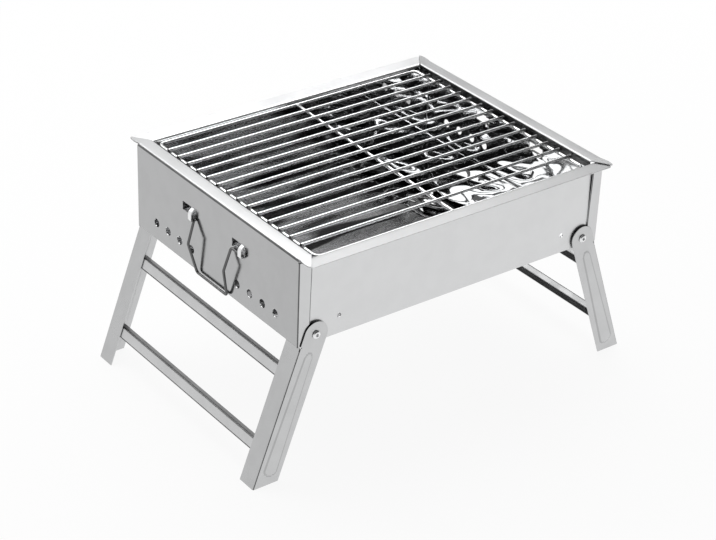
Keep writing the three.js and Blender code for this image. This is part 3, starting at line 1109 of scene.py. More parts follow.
@dataclass(frozen=True)
class EndPanel:
    """An end wall: hem, inward rim and lip, wrapped flanges, rim ears, grate tabs, vents and brackets."""

    box: BoxSizes
    vent_up: float
    bail_z: float
    hem_x: float = 167.0
    rim_x: float = 160.0
    seam_x: float = 162.0
    lip_up: float = 80.0
    body_y: float = 128.6
    tab_y: float = 80.0
    tab_x: float = 152.6
    tab_half: float = 5.0
    vents: int = 4
    vent_y: float = 37.5
    vent_pitch: float = 20.0
    vent_radius: float = 4.25
    strap_starts: tuple[float, float] = (32.0, -49.0)
    strap_width: float = 5.0
    window: tuple[float, float, float] = (15.0, 1.0, 9.6)
    rim_tilt: float = 1.5
    tip_short: float = 2.2
    flange_edge: float = 0.8
    flange_spring: float = 1.2
    spring_from: float = 160.0
    spring_over: float = 55.0
    flange_down: float = 1.1
    ear_lap: float = 0.3
    ear_line_end: float = 136.5
    strap_below: tuple[float, ...] = (3.4, 3.4, 2.7, 1.4)
    strap_above: tuple[float, ...] = (9.8, 9.8, 7.2, 4.6)
    strap_out: tuple[float, ...] = (3.0, 4.1)
    space_below: tuple[float, ...] = (2.4, 2.4, 1.9, 1.1)
    space_above: tuple[float, ...] = (8.6, 8.6, 6.2, 4.0)
    space_out: tuple[float, ...] = (2.5, 3.3)
    waves: Waves = Waves(0.05, 80, 200, 8)
    calm_rim: tuple[float, float] = (6.0, 22.0)
    calm_foot: tuple[float, float] = (3.0, 22.0)
    calm_ends: tuple[float, float] = (8.0, 25.0)
    draw_in: float = 0.28
    draw_reach: float = 17.0
    draw_over: float = 10.0
    draw_up: float = 3.0
    draw_wide: float = 1.3

    @property
    def wall(self) -> float:
        """Middle of the wall's sheet."""
        return self.box.half_length - self.box.sheet / 2

    def shell(self) -> Shape:
        """The wall with its hem, rim and lip, and the flanges and ears at both ends.

        Returns:
            The solid, without vents, straps and windows.
        """
        b, x = self.box, self.wall
        rim, lip_x = b.top - b.sheet / 2, self.rim_x + b.sheet / 2
        lip = b.low + self.lip_up
        hem = b.low + b.sheet / 2
        line = [(self.hem_x, hem), (x, hem), (x, rim), (lip_x, rim), (lip_x, lip)]
        bends = [0, b.bend, b.rim_bend, b.bend, 0]
        wall = BentSheet(line, b.sheet, bends, Axis.Y, -self.body_y, self.body_y).shape()
        corner_line = [(x, b.top - 6), (x, rim), (self.rim_x + 2, rim)]
        parts = []
        for s in (-1, 1):
            flange_y = b.half_width - b.sheet / 2
            edge_y, root_y = flange_y - self.flange_edge / 5, self.body_y - self.ear_lap
            edge_x = self.seam_x + self.flange_edge
            flange = [(self.seam_x, s * edge_y), (edge_x, s * flange_y), (x, s * flange_y), (x, s * root_y)]
            flange_top = b.long_rim_z - b.sheet - b.gap - self.flange_down
            sheet = BentSheet(flange, b.sheet, [0, 0.3, b.bend, 0], Axis.Z, b.low, flange_top).shape()
            parts.append(sheet.mapped(self.spring))
            start, end = sorted((s * (self.body_y - 0.4), s * (b.half_width - 1.3)))
            parts.append(BentSheet(corner_line, b.sheet, b.rim_bend, Axis.Y, start, end).shape())
            outline = [(u, s * v) for u, v in (self.ear() if s > 0 else reversed(self.ear()))]
            parts.append(plate(outline, Axis.Z, b.top - b.sheet, b.top))
            near, far = s * self.tab_y - self.tab_half, s * self.tab_y + self.tab_half
            parts.append(block((self.tab_x, near, lip), (lip_x, far, lip + b.sheet)))
        return wall.with_tool(Join.ADD, *parts)

    def ear(self) -> list[Point]:
        """The outline of the rim beyond the box's +X, +Y corner, a wedge with a blunt tip.

        Returns:
            The outline, from the lip outward and back.
        """
        b = self.box
        root, tip = self.body_y - self.ear_lap, b.ear_y - self.tip_short
        outer = [(2.4, root), (1.2, 130.6), (0.4, 134.0), (0.1, 138.0), (0.2, tip - 4.6), (0.8, tip - 1.4)]
        inner = [(1.9, tip), (3.2, tip - 0.2), (14.2, tip - 16.0)]
        line = [(b.half_length - into, y) for into, y in outer + inner]
        return [(self.rim_x, root), *line, (self.rim_x, tip - 16.6)]

    def spring(self, points: np.ndarray) -> np.ndarray:
        """Lets the free edge of a wrapped flange stand off a little towards its top.

        Args:
            points: the mesh's points.

        Returns:
            The moved points.
        """
        b = self.box
        x, y, z = points.T
        free = np.clip((self.wall - x) / (self.wall - self.seam_x), 0, 1)
        free = free * clear_of(z, self.spring_from, self.spring_over)
        moved = points.copy()
        moved[:, 1] += np.sign(y) * self.flange_spring * free * (np.abs(y) > b.half_width - 2)
        return moved

    def strap(self, below: Sequence[float], above: Sequence[float], out: Sequence[float]) -> list[Point]:
        """The outline of a bridge bulged out of the wall.

        Args:
            below: how far it reaches below the bail's axis, at each distance from the wall.
            above: how far it reaches above the axis.
            out: those distances.

        Returns:
            X and Z of the outline's points.
        """
        line = [(d, -z) for d, z in zip(out, below)] + [(d, z) for d, z in reversed(list(zip(out, above)))]
        line = rounded(line, [0, 1.2, 1.2, 1.2, 2.6, 2.2, 1.4, 0], 5)
        return [(self.box.half_length + d, self.bail_z + z) for d, z in line]

    def brackets(self, shell: Shape) -> Shape:
        """Adds the two straps and cuts the space behind them and their windows.

        Args:
            shell: the wall with its vents.

        Returns:
            The finished end panel.
        """
        b = self.box
        outer = self.strap(self.strap_below, self.strap_above, (-b.sheet, 0, *self.strap_out))
        inner = self.strap(self.space_below, self.space_above, (-b.sheet - 1, 0, *self.space_out))
        length, low, high = self.window
        straps, spaces = [], []
        for y in self.strap_starts:
            end = y + self.strap_width
            straps.append(plate(outer, Axis.Y, y, end))
            spaces.append(plate(inner, Axis.Y, y - 0.5, end + 0.5, 0))
            corner = (b.half_length - 2, end, self.bail_z + low)
            spaces.append(block(corner, (b.half_length + 0.5, end + length, self.bail_z + high)))
        return shell.with_tool(Join.ADD, *straps).with_tool(Join.CUT, *spaces)

    def sway(self, points: np.ndarray) -> np.ndarray:
        """Waves in the wall, a little drawing in round each bracket, and the rim's spring back from level.

        Args:
            points: the mesh's points.

        Returns:
            The moved points.
        """
        b = self.box
        x, y, z = points.T
        on_wall = np.abs(x - self.wall) < b.sheet
        free = clear_of(b.top - z, *self.calm_rim) * clear_of(z - b.low, *self.calm_foot)
        free *= clear_of(b.half_width - np.abs(y), *self.calm_ends)
        shift = self.waves.at(y, z) * free
        for start in self.strap_starts:
            along = (y - start - self.strap_width / 2) / self.draw_wide
            away = np.hypot(along, z - self.bail_z - self.draw_up)
            shift -= self.draw_in * smooth_step((self.draw_reach - away) / self.draw_over)
        drop = math.tan(math.radians(self.rim_tilt)) * np.maximum(x - self.rim_x, 0)
        moved = points.copy()
        moved[:, 0] += np.where(on_wall, shift, 0)
        moved[:, 2] -= drop * clear_of(z - b.top, *b.rim_root)
        return moved

    def shape(self) -> Shape:
        """The solid of the right end panel.

        Returns:
            The solid.
        """
        b = self.box
        vents = []
        for s in (-1, 1):
            for i in range(self.vents):
                centre = (b.half_length, s * (self.vent_y + self.vent_pitch * i), b.low + self.vent_up)
                vents.append(rod(Axis.X, centre, self.vent_radius, 8))
        shell = self.shell().mapped(self.sway).with_tool(Join.CUT, vents[0].plus(*vents[1:]))
        return self.brackets(shell)

    def build(self, shop: Workshop, side: str) -> None:
        """Makes the end panel of one side.

        Args:
            shop: what makes the pieces.
            side: left or right.
        """
        sx = SIDES[side]
        shape = self.shape().mirrored(sx, 1)
        shop.piece(f"{side}_end_panel", "fire_box", shape, Finish.END, self.rules(sx))

    def rules(self, sx: int) -> list[Rule]:
        """Finishes of an end panel's inside and flanges, and painted shade and highlight on rim, edges, lip and
        straps.

        Args:
            sx: -1 on the left and 1 on the right.

        Returns:
            Each finish with the test for its faces.
        """
        b = self.box
        rim, under = b.top - 3.2, b.top - 1
        flange, edge = b.half_width - 0.6, self.seam_x + self.flange_edge
        body, root, tip = self.body_y, b.half_width, self.ear_line_end
        lip, strap = self.rim_x + 0.4, b.half_length + 0.2
        return [
            (Finish.INNER, lambda c, n: n.x * sx < -FACING and abs(c.x) < self.wall and c.z < under),
            # The flanges keep a lighter grey than the painted shade of the wall's outer face.
            (Finish.FLANGE, lambda c, n: abs(n.y) > 0.9 and abs(c.y) > flange),
            # Painted shade on the rim's top.
            (Finish.END_RIM, lambda c, n: n.z > 0.2 and c.z > rim),
            # Painted shade and dark reflection: dark lines on bends, ear edges and flange edges.
            (Finish.CREASE, lambda c, n: min(n.x * sx, abs(n.y)) > 0.42 and c.z < rim and abs(c.y) > body),
            (Finish.CREASE, lambda c, n: n.x * sx > 0.55 and n.z > 0.15 and c.z > rim),
            (Finish.CREASE, lambda c, n: abs(n.z) < 0.5 and root < abs(c.y) < tip and c.z > rim),
            (Finish.CREASE, lambda c, n: abs(n.y) > 0.5 and abs(c.y) > flange and abs(c.x) < edge),
            # Painted highlight on the straps.
            (Finish.STRAP, lambda c, n: c.x * sx > strap),
            # Painted shade on the lip's inward face.
            (Finish.LIP, lambda c, n: n.x * sx < -FACING and abs(c.x) < lip and c.z < under),
        ]


@dataclass(frozen=True)
class FirePan:
    """The bright floor of the box: a wavy plate with its edges turned down."""

    box: BoxSizes
    thickness: float = 0.6
    bend: float = 1.4
    pitch: float = 3.5
    notch: float = 5.5
    notch_deep: float = 2.4
    bands: Waves = Waves(0.17, 24, 70, 3, 12)
    dents: Waves = Waves(0.42, 34, 90, 11, 22)
    dents_from: tuple[float, float] = (20.0, 90.0)
    band_stretch: float = 0.15
    band_loss: float = 0.6
    sink: float = 0.3
    highest: float = 0.1
    calm_ends: tuple[float, float] = (6.0, 14.0)
    calm_sides: tuple[float, float] = (8.0, 14.0)

    def surface(self, inset: float, top: float) -> list[np.ndarray]:
        """Rows of points over the plate and down its rolled edges, along X and Y.

        Args:
            inset: how far in from the outer skin.
            top: height of the plate.

        Returns:
            One array of points for each row.
        """
        b = self.box
        x_end, y_end = b.panel_x - inset, b.panel_y - b.sheet - b.gap - inset
        bend = self.bend - inset
        curve = [(math.sin(w), math.cos(w)) for w in np.linspace(0, math.pi / 2, 6)]

        def track(end: float) -> list[Point]:
            """Stations across the plate and down its rolled edges.

            Args:
                end: half the distance across.

            Returns:
                Distances across, with how far each is below the plate's top.
            """
            flat = [(u, 0.0) for u in steps_between(-end + bend, end - bend, self.pitch)]
            roll = [(end - bend + bend * s, bend * (1 - c)) for s, c in curve[1:]]
            return [(-u, d) for u, d in reversed(roll)] + flat + roll

        across = track(x_end)
        return [
            np.array([(x, y, top - max(fall_x, fall_y)) for x, fall_x in across])
            for y, fall_y in track(y_end)
        ]

    def shape(self) -> Shape:
        """The solid of the pan.

        Returns:
            The solid.
        """
        b = self.box
        low = b.low + b.sheet + b.gap
        outer = self.tub(0.0, b.pan_top, low)
        inner = self.tub(self.thickness, b.pan_top - self.thickness, low - 3)
        pan = outer.with_tool(Join.CUT, inner)
        y_end = b.panel_y - b.sheet - b.gap
        near, far = y_end - self.notch_deep, y_end + 1
        notches = []
        for x in (-b.pivot_x, b.pivot_x):
            for y0, y1 in ((-far, -near), (near, far)):
                notches.append(block((x - self.notch, y0, low - 1), (x + self.notch, y1, b.pan_top + 1)))
        pan = pan.with_tool(Join.CUT, notches[0].plus(*notches[1:]))
        return pan.mapped(self.sway)

    def tub(self, inset: float, top: float, low: float) -> Shape:
        """A closed block under the plate's surface, down to a level.

        Args:
            inset: how far in from the outer skin.
            top: height of the plate.
            low: height of the block's foot.

        Returns:
            The solid.
        """
        rows = self.surface(inset, top)
        points = np.concatenate(rows)
        width, count = len(rows[0]), len(rows)
        faces = []
        for j in range(count - 1):
            for i in range(width - 1):
                a = j * width + i
                faces.append((a, a + 1, a + 1 + width, a + width))
        near, far = list(range(width)), [(count - 1) * width + i for i in range(width - 2, -1, -1)]
        right = [j * width + width - 1 for j in range(1, count)]
        left = [j * width for j in range(count - 2, 0, -1)]
        rim = near + right + far + left
        base = len(points)
        foot = points[rim].copy()
        foot[:, 2] = low
        size = len(rim)
        faces += [(rim[k], base + k, base + (k + 1) % size, rim[(k + 1) % size]) for k in range(size)]
        faces.append(tuple(range(base, base + size)))
        return Shape(np.concatenate([points, foot]), faces)

    def sway(self, points: np.ndarray) -> np.ndarray:
        """Long bands along the flat of the pan, and dents towards its right end.

        Args:
            points: the mesh's points.

        Returns:
            The moved points.
        """
        b = self.box
        x, y, z = points.T
        free = clear_of(b.panel_x - np.abs(x), *self.calm_ends)
        free *= clear_of(b.panel_y - np.abs(y), *self.calm_sides)
        start, end = self.dents_from
        dented = smooth_step((x - start) / (end - start))
        bands = self.bands.at(x * self.band_stretch, y) * (1 - self.band_loss * dented)
        wave = np.minimum(bands + self.dents.at(x, y) * dented - self.sink, self.highest)
        moved = points.copy()
        moved[:, 2] += np.where(z > b.pan_top - 2 * self.thickness, wave * free, 0)
        return moved

    def build(self, shop: Workshop) -> None:
        """Makes the pan."""
        shop.piece("fire_pan", "fire_box", self.shape(), Finish.MIRROR)


# Grate


@dataclass(frozen=True)
class Grate:
    """The welded wire grate: a rounded frame, long bars on top, one cross bar under them, and weld beads."""

    frame_radius: float = 1.6
    bar_radius: float = 1.5
    corner: float = 6.0
    bars: int = 14
    pitch: float = 16.4
    inset: tuple[float, float] = (4.0, 2.0)
    overhang: float = 2.8
    bar_up: float = 3.0
    cross_up: float = 0.3
    cross_ends: tuple[float, float] = (-3.5, 5.0)
    joint_x: float = 20.0
    bead_up: float = 1.6
    end_bead: tuple[float, float, float] = (2.1, 2.0, 1.2)
    cross_bead: tuple[float, float, float] = (1.9, 1.9, 1.1)
    side_bead: tuple[float, float, float] = (2.1, 2.1, 1.9)
    spacing: float = 12.0

    def shape(self) -> Shape:
        """The wires and weld beads, as overlapping closed meshes.

        Returns:
            All the wires and beads.
        """
        low, high = (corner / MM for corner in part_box("cooking_grate"))
        half_x, half_y = high.x - self.inset[0], high.y - self.inset[1]
        z = low.z + self.frame_radius
        reach = half_x + self.overhang
        joint = (self.joint_x, half_y, z)
        turns = [(half_x, half_y, z), (half_x, -half_y, z), (-half_x, -half_y, z), (-half_x, half_y, z)]
        loop = rounded([joint, *turns, joint], self.corner, 10)
        parts = [wire(divided(loop, self.spacing)[:-1], self.frame_radius, sides=20, closed=True)]
        for i in range(self.bars):
            y = (i - (self.bars - 1) / 2) * self.pitch
            ends = np.array([(-reach, y, z + self.bar_up), (reach, y, z + self.bar_up)])
            parts.append(wire(divided(ends, self.spacing), self.bar_radius))
            crossing = float(np.interp(y, (-half_y, half_y), self.cross_ends))
            beads = ((-half_x, self.end_bead), (half_x, self.end_bead), (crossing, self.cross_bead))
            parts += [bead((x, y, z + self.bead_up), radii) for x, radii in beads]
        near, far = self.cross_ends
        cross = np.array([(near, -half_y, z + self.cross_up), (far, half_y, z + self.cross_up)])
        parts.append(wire(divided(cross, self.spacing), self.bar_radius))
        for x, sy in ((near, -1), (far, 1)):
            parts.append(bead((x, sy * (half_y - 0.6), z + 0.2), self.side_bead))
        return parts[0].plus(*parts[1:])

    def build(self, shop: Workshop) -> None:
        """Makes the grate.

        Args:
            shop: what makes the pieces.
        """
        low, high = (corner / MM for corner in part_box("cooking_grate"))
        ends = high.x - self.inset[0] + self.overhang - 0.7
        level, reach = low.z + self.frame_radius + self.bar_up, 1.6
        rules = [
            # Painted shade: the bars' cut ends near black, for the dark gap beside the rim.
            (Finish.CUT_END, lambda c, n: abs(c.x) > ends and abs(n.x) > 0.3 and abs(c.z - level) < reach),
        ]
        shop.piece("cooking_grate", "grate", self.shape(), Finish.PLATED, rules, sharp=50)


# Leg frames


@dataclass(frozen=True)
class LegFrame:
    """Two legs and two rungs of one end. Leg coordinates: x outward, z up along the leg from the pivot."""

    box: BoxSizes
    splay: float = 20.0
    half: float = 12.7
    sheet: float = 1.0
    depth: float = 21.0
    shoulder: float = 14.3
    length: float = 175.0
    bend: float = 1.1
    hole: float = 2.55
    band_half: float = 6.0
    band_halves: tuple[float, float] = (7.6, 4.4)
    band_room: float = 11.0
    band_from: float = -141.0
    band_to: float = -18.0
    band_high: float = 0.7
    band_edge: tuple[float, float] = (0.6, 2.2)
    dimple_at: tuple[float, float] = (1.5, -149.5)
    dimple_high: float = 0.35
    dimple_edge: tuple[float, float] = (2.2, 1.8)
    ear_lap: float = 0.6
    notch: tuple[float, float] = (1.7, 1.4)
    rung_tops: tuple[float, float] = (40.0, 113.5)
    rung_high: float = 12.0
    rung_inner: float = 4.4
    rung_reach: float = 127.0
    rung_bend: float = 1.6

    @property
    def inner(self) -> float:
        """Inner face of the face flange."""
        return self.box.half_width + self.box.gap

    def band(self, points: np.ndarray) -> np.ndarray:
        """Presses the long band and the small dimple near the foot into the face flange.

        Args:
            points: the mesh's points.

        Returns:
            The moved points.
        """
        x, y, z = points.T
        on_face = y > self.inner - 0.01
        ends = (self.band_from + self.band_half, self.band_to - self.band_half)
        length = np.clip(z, *ends)
        away = np.hypot(x, z - length)
        past, over = self.band_edge
        raised = self.band_high * smooth_step((self.band_half + past - away) / over)
        wide, over = self.dimple_edge
        from_dimple = np.hypot(x - self.dimple_at[0], z - self.dimple_at[1])
        dimple = self.dimple_high * smooth_step((wide - from_dimple) / over)
        half = np.interp(length, ends, self.band_halves)
        across = np.abs(x)
        share = (across - self.band_half) / (self.band_room - self.band_half)
        beside = half + share * (self.band_room - half)
        spread = np.where(across < self.band_half, across * half / self.band_half, beside)
        moved = points.copy()
        moved[:, 0] = np.where(across < self.band_room, np.sign(x) * spread, x)
        moved[:, 1] += np.where(on_face, raised + dimple, 0)
        return moved

    def leg(self) -> Shape:
        """The +X, +Y leg.

        Returns:
            The solid, longer than the leg, which the ground cuts.
        """
        y1, mid, w = self.inner + self.sheet, self.inner + self.sheet / 2, self.half - self.sheet / 2
        line = [(-self.half, mid), (w, mid), (w, y1 - self.depth)]
        start, end = -self.length, -self.shoulder
        angle = BentSheet(line, self.sheet, self.bend, Axis.Z, start, end, pitch=0.8, along=1.6).shape()
        root = end - self.ear_lap
        ear = [(-self.half, root), (self.half, root)] + arc((0, 0), self.half, 0, 180, 40)
        angle = angle.mapped(self.band).with_tool(Join.ADD, plate(ear, Axis.Y, self.inner, y1))
        wide, high = self.notch
        notch = block((self.half - wide, self.inner - 1, end), (self.half + 1, y1 + 1, end + high))
        return angle.with_tool(Join.CUT, notch, rod(Axis.Y, (0, mid, 0), self.hole, 6))

    def rung(self, top: float) -> Shape:
        """A channel rung whose upper face is a distance below the pivot.

        Args:
            top: how far below the pivot.

        Returns:
            The solid.
        """
        t = self.box.sheet
        web = self.half - self.sheet - self.box.gap - t / 2
        upper, lower = -top - t / 2, -top - self.rung_high + t / 2
        line = [(self.rung_inner, upper), (web, upper), (web, lower), (self.rung_inner, lower)]
        return BentSheet(line, t, self.rung_bend, Axis.Y, -self.rung_reach, self.rung_reach, along=8).shape()

    def build(self, shop: Workshop, side: str) -> None:
        """Makes the leg frame of one side.

        Args:
            shop: what makes the pieces.
            side: left or right.
        """
        sx = SIDES[side]
        turn = Matrix.Rotation(-sx * math.radians(self.splay), 4, "Y")
        place = Matrix.Translation((sx * self.box.pivot_x, 0, self.box.pivot_z)) @ turn
        ground = block((-400, -400, -200), (400, 400, 0))
        body = f"{side}_leg_frame"
        leg = self.leg()
        for face, sy in FACES.items():
            shape = leg.mirrored(sx, sy).placed(place).with_tool(Join.CUT, ground)
            shop.piece(f"{side}_{face}_leg", body, shape, Finish.LEG, self.leg_rules(sx, sy))
        rules = self.rung_rules(turn)
        for name, top in zip(("upper", "lower"), self.rung_tops):
            rung = self.rung(top).mirrored(sx, 1).placed(place)
            shop.piece(f"{side}_{name}_rung", body, rung, Finish.LEG, rules)

    def leg_rules(self, sx: int, sy: int) -> list[Rule]:
        """The finishes of a leg: painted shade on its end flange, corner bend, ear's edge and band's slopes.

        Args:
            sx: -1 on the left and 1 on the right.
            sy: -1 in front and 1 at the back.

        Returns:
            Each finish with the test for its faces.
        """
        shoulder = self.box.pivot_z - 12
        inner, outer = self.inner - 0.05, self.inner + self.sheet + 0.02

        def on_ear(c: Vector) -> bool:
            """Whether a point is on the ear's own edge."""
            return c.z > shoulder and abs(c.y) > inner

        return [
            # Painted shade: the end flange darker than the face.
            (Finish.LEG_END, lambda c, n: abs(n.y) < 0.5),
            # Painted shade and dark reflection: a dark line on the corner bend.
            (Finish.CREASE, lambda c, n: n.y * sy > 0.5 and n.x * sx > 0.42 and abs(c.y) < outer),
            (Finish.SHADE, lambda c, n: abs(n.y) < 0.8 and n.x * sx > 0.1 and on_ear(c)),
            # Painted shade on the band's slopes.
            (Finish.BAND_EDGE, lambda c, n: 0.5 < n.y * sy < 0.975 and abs(c.y) > outer),
        ]

    def rung_rules(self, turn: Matrix) -> list[Rule]:
        """The finishes of a rung: painted shade on its bends and on its upper and lower faces.

        Args:
            turn: the leg's slope.

        Returns:
            Each finish with the test for its faces.
        """
        level, flat = turn.to_3x3().inverted(), 0.97

        def up(n: Vector) -> float:
            """How far a face looks up along the leg, from -1 to 1."""
            return (level @ n).z

        return [
            # Painted shade on the rungs' bends and on their flat upper and lower faces.
            (Finish.CREASE, lambda c, n: 0.3 < up(n) < flat or -flat < up(n) < -0.08),
            (Finish.RUNG_TOP, lambda c, n: abs(up(n)) > flat),
        ]


@dataclass(frozen=True)
class PivotHardware:
    """A tubular rivet and its spacer washer at each leg."""

    legs: LegFrame
    head: float = 4.1
    shank: float = 2.25
    washer: float = 5.4

    def rivet(self) -> list[Point]:
        """Radius and distance of the rivet's profile.

        Returns:
            The profile, closed on the rivet's axis.
        """
        b = self.legs.box
        top = self.legs.inner + self.legs.sheet + b.gap
        tail = b.panel_y - b.sheet - b.gap
        over = [(self.head, top + 0.1), (self.head, top + 0.7), (2.9, top + 1.8), (1.7, top + 1.8)]
        dome = rounded(over, [0, 0.5, 1.5, 0], 5)
        mouth = [(1.35, top + 1.55), (1.25, top + 1.2), (1.25, top - 0.6), (0, top - 0.6)]
        formed = [(0, tail - 1.1), (3.1, tail - 1.1), (3.7, tail - 0.6), (3.7, tail)]
        shank = [(self.shank, tail), (self.shank, top), (3.95, top)]
        return formed + shank + [tuple(p) for p in dome] + mouth

    def spacer(self) -> list[Point]:
        """Radius and distance of the washer's profile.

        Returns:
            The profile, closed on itself.
        """
        b = self.legs.box
        near, far, r = b.panel_y + b.gap, self.legs.inner - b.gap, self.legs.hole
        return [(r, near), (self.washer, near), (self.washer, far), (r, far), (r, near)]

    def build(self, shop: Workshop) -> None:
        """Makes the hardware of all four corners.

        Args:
            shop: what makes the pieces.
        """
        b = self.legs.box
        for side, sx in SIDES.items():
            for face, sy in FACES.items():
                centre = (sx * b.pivot_x, b.pivot_z)
                for part, profile in (("rivet", self.rivet()), ("spacer", self.spacer())):
                    name = f"{side}_{face}_pivot_{part}"
                    shop.piece(name, "fire_box", turned(profile, centre, sy), Finish.RIVET)


# Bails


@dataclass(frozen=True)
class Bail:
    """A wire handle, bowed outward, with its ends turned out into the brackets."""

    axis_x: float
    axis_z: float
    radius: float = 1.3

    def path(self) -> np.ndarray:
        """The wire's middle line about its own axis, on the right side.

        Returns:
            The path's points.
        """
        corners = [
            (0, 37.8, 0), (0, 30.4, 0), (7.35, 29.2, -22.2), (0.65, 24.6, -52),
            (0.65, -24.6, -52), (7.35, -29.2, -22.2), (0, -30.4, 0), (0, -50.4, 0),
        ]
        return rounded(corners, [0, 2.6, 4, 3.2, 3.2, 4, 2.6, 0], 8)

    def build(self, shop: Workshop, side: str) -> None:
        """Makes the bail of one side.

        Args:
            shop: what makes the piece.
            side: left or right.
        """
        sx = SIDES[side]
        place = Matrix.Translation((sx * self.axis_x, 0, self.axis_z))
        shape = wire(divided(self.path(), 6), self.radius).mirrored(sx, 1).placed(place)
        shop.piece(f"{side}_handle", f"{side}_bail", shape, Finish.HANDLE, sharp=50)


# Studio


def outward(azimuth: float, elevation: float) -> Vector:
    """The direction at an azimuth, 0 in front and 90 to the right, and an elevation, in degrees."""
    a, e = math.radians(azimuth), math.radians(elevation)
    return Vector((math.sin(a) * math.cos(e), -math.cos(a) * math.cos(e), math.sin(e)))


@dataclass(frozen=True)
class Lamp:
    """A soft rectangular lamp that faces the grill."""

    name: str
    azimuth: float
    elevation: float
    distance: float
    size: tuple[float, float]
    radiance: float

    def build(self, target: Vector) -> None:
        """Makes the lamp.

        Args:
            target: the point that it faces.
        """
        back = outward(self.azimuth, self.elevation)
        data = bpy.data.lights.new(self.name, "AREA")
        data.shape = "RECTANGLE"
        data.size, data.size_y = self.size
        data.energy = self.radiance * math.pi * self.size[0] * self.size[1]
        item = linked(self.name, data)
        item.location = target + back * self.distance
        item.rotation_mode = "QUATERNION"
        item.rotation_quaternion = back.to_track_quat("Z", "Y")
        item.visible_camera = False


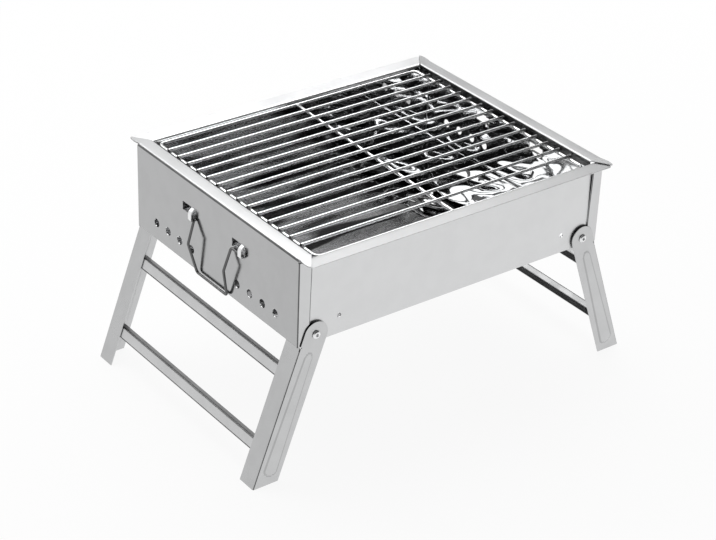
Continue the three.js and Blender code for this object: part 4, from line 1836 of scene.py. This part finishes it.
@dataclass(frozen=True)
class Studio:
    """A pale floor, a pale horizon with a darker sky, soft lamps, and the camera."""

    floor_radius: float = 14.0
    clip: tuple[float, float] = (0.05, 60.0)
    floor_grey: float = 0.9
    floor_glow: tuple[float, float] = (0.92, 1.0)
    glow_reach: tuple[float, float] = (0.35, 1.1)
    lamps: tuple[Lamp, ...] = (
        Lamp("overhead", 160.0, 65.0, 1.7, (1.8, 1.6), 3.3),
        Lamp("back_left", -142.0, 31.0, 2.4, (0.9, 0.5), 3.6),
        Lamp("front_left", -40.0, 25.0, 3.0, (0.26, 0.2), 9.0),
    )
    sky_front: tuple[Point, ...] = (
        (0.0, 0.9), (0.1, 0.85), (0.18, 0.3), (0.22, 0.02), (0.62, 0.02), (0.75, 0.15), (1.0, 0.3),
    )
    sky_back: tuple[Point, ...] = (
        (0.0, 0.9), (0.1, 0.9), (0.37, 0.8), (0.385, 0.02), (0.435, 0.02), (0.44, 0.22),
        (0.57, 0.22), (0.58, 0.02), (0.66, 0.02), (0.75, 0.15), (1.0, 0.3),
    )
    sky_right: tuple[Point, ...] = (
        (0.0, 0.9), (0.1, 0.9), (0.37, 0.8), (0.385, 0.015),
        (0.62, 0.015), (0.66, 0.02), (0.75, 0.15), (1.0, 0.3),
    )
    card_edge: tuple[float, float] = (0.082, 0.088)
    horizon_edge: tuple[float, float] = (-0.05, 0.05)
    focal_pixels: float = 2030.186
    frame_width: float = 716.0
    sensor: float = 36.0
    azimuth: float = -37.93
    elevation: float = 30.228
    roll: float = -2.368
    distance: float = 1927.5
    target: tuple[float, float, float] = (-25.9, -21.4, 110.0)

    def camera(self) -> None:
        """The camera at the photograph's angle."""
        back, r = outward(self.azimuth, self.elevation), math.radians(self.roll)
        right = (-back).cross(Vector((0, 0, 1))).normalized()
        down = (-back).cross(right)
        right, down = right * math.cos(r) + down * math.sin(r), down * math.cos(r) - right * math.sin(r)
        data = bpy.data.cameras.new("camera")
        data.sensor_width = self.sensor
        data.lens = self.focal_pixels / self.frame_width * self.sensor
        data.clip_start, data.clip_end = self.clip
        item = linked("camera", data)
        matrix = Matrix((right, -down, back)).transposed().to_4x4()
        matrix.translation = (Vector(self.target) + back * self.distance) * MM
        item.matrix_world = matrix
        bpy.context.scene.camera = item

    def floor(self) -> None:
        """A round pale floor that keeps the shadow."""
        made = bmesh.new()
        bmesh.ops.create_circle(made, cap_ends=True, segments=96, radius=self.floor_radius)
        mesh = bpy.data.meshes.new("floor")
        made.to_mesh(mesh)
        made.free()
        item = linked("floor", mesh)
        mesh.materials.append(self.floor_material())
        item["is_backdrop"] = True

    def floor_material(self) -> bpy.types.Material:
        """Matt and pale, with a glow that the camera and reflections see, stronger farther out.

        Returns:
            The material.
        """
        made = bpy.data.materials.new("pale_floor")
        made.use_nodes = True
        made.node_tree.nodes.clear()
        nodes = Nodes(made.node_tree)
        rays = nodes.add("LightPath").outputs
        seen = nodes.worked("MAXIMUM", rays["Is Camera Ray"], rays["Is Glossy Ray"])
        seen = nodes.worked("MAXIMUM", seen, rays["Is Transmission Ray"])
        away = nodes.add("VectorMath", {0: nodes.place()}, operation="LENGTH").outputs["Value"]
        share = nodes.worked("MULTIPLY", seen, nodes.spread(away, self.glow_reach, self.floor_glow))
        matt = nodes.add("BsdfDiffuse", {"Color": opaque((self.floor_grey,) * 3)}).outputs[0]
        glow = nodes.add("Emission", {"Color": opaque((1.0, 1.0, 1.0))}).outputs[0]
        both = nodes.add("MixShader", {"Fac": share, 1: matt, 2: glow}).outputs[0]
        nodes.add("OutputMaterial", {"Surface": both})
        return made

    def world(self) -> None:
        """Light by the direction's height, with its own bands in front, behind and behind to the right."""
        world = bpy.data.worlds.new("studio")
        bpy.context.scene.world = world
        world.use_nodes = True
        nodes = Nodes(world.node_tree)
        way = nodes.add("SeparateXYZ", {0: nodes.add("TexCoord").outputs["Generated"]}).outputs
        skies = (self.sky_front, self.sky_back, self.sky_right)
        front, back, right = (self.ramp(nodes, way["Z"], sky) for sky in skies)
        to_right = nodes.spread(nodes.worked("SUBTRACT", way["X"], way["Z"]), self.card_edge)
        behind = nodes.spread(way["Y"], self.horizon_edge)
        sky = nodes.mixed(behind, front, nodes.mixed(to_right, back, right))
        nodes.feed(sky, world.node_tree.nodes["Background"].inputs["Color"])

    @staticmethod
    def ramp(nodes: Nodes, height: Socket, sky: Sequence[Point]) -> Socket:
        """A level of light for each height.

        Args:
            nodes: the world's nodes.
            height: the direction's height.
            sky: heights with their levels.

        Returns:
            The level as a colour.
        """
        node = nodes.add("ValToRGB", {"Fac": height})
        stops = node.color_ramp.elements
        for i, (place, level) in enumerate(sky):
            stop = stops[i] if i < 2 else stops.new(place)
            stop.position, stop.color = place, opaque((level,) * 3)
        return node.outputs["Color"]

    def build(self) -> None:
        """Makes the whole studio."""
        self.camera()
        self.floor()
        self.world()
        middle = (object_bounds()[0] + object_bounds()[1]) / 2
        for lamp in self.lamps:
            lamp.build(middle)
        bpy.context.scene.view_settings.view_transform = "Standard"


def corners(box: tuple[Vector, Vector]) -> list[list[float]]:
    """A box as plain lists of numbers."""
    return [list(corner) for corner in box]


def main() -> None:
    """Loads the frame, builds the studio and every sub-assembly."""
    logging.basicConfig(level=logging.INFO, format="%(name)s: %(message)s")
    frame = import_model()
    Studio().build()

    shop = Workshop()
    joints = frame["joints"]
    box = BoxSizes.from_frame(joints)
    swing = next(j for j in joints if j["name"] == "right_handle_swing")["pos_m"]
    bail = Bail(swing[0] / MM, swing[2] / MM)
    legs = LegFrame(box)

    LongPanel(box).build(shop)
    for side, vent_up in VENTS_UP.items():
        EndPanel(box, vent_up, bail.axis_z).build(shop, side)
        legs.build(shop, side)
        bail.build(shop, side)
    FirePan(box).build(shop)
    Grate().build(shop)
    PivotHardware(legs).build(shop)

    bpy.context.view_layer.update()


if __name__ == "__main__":
    main()
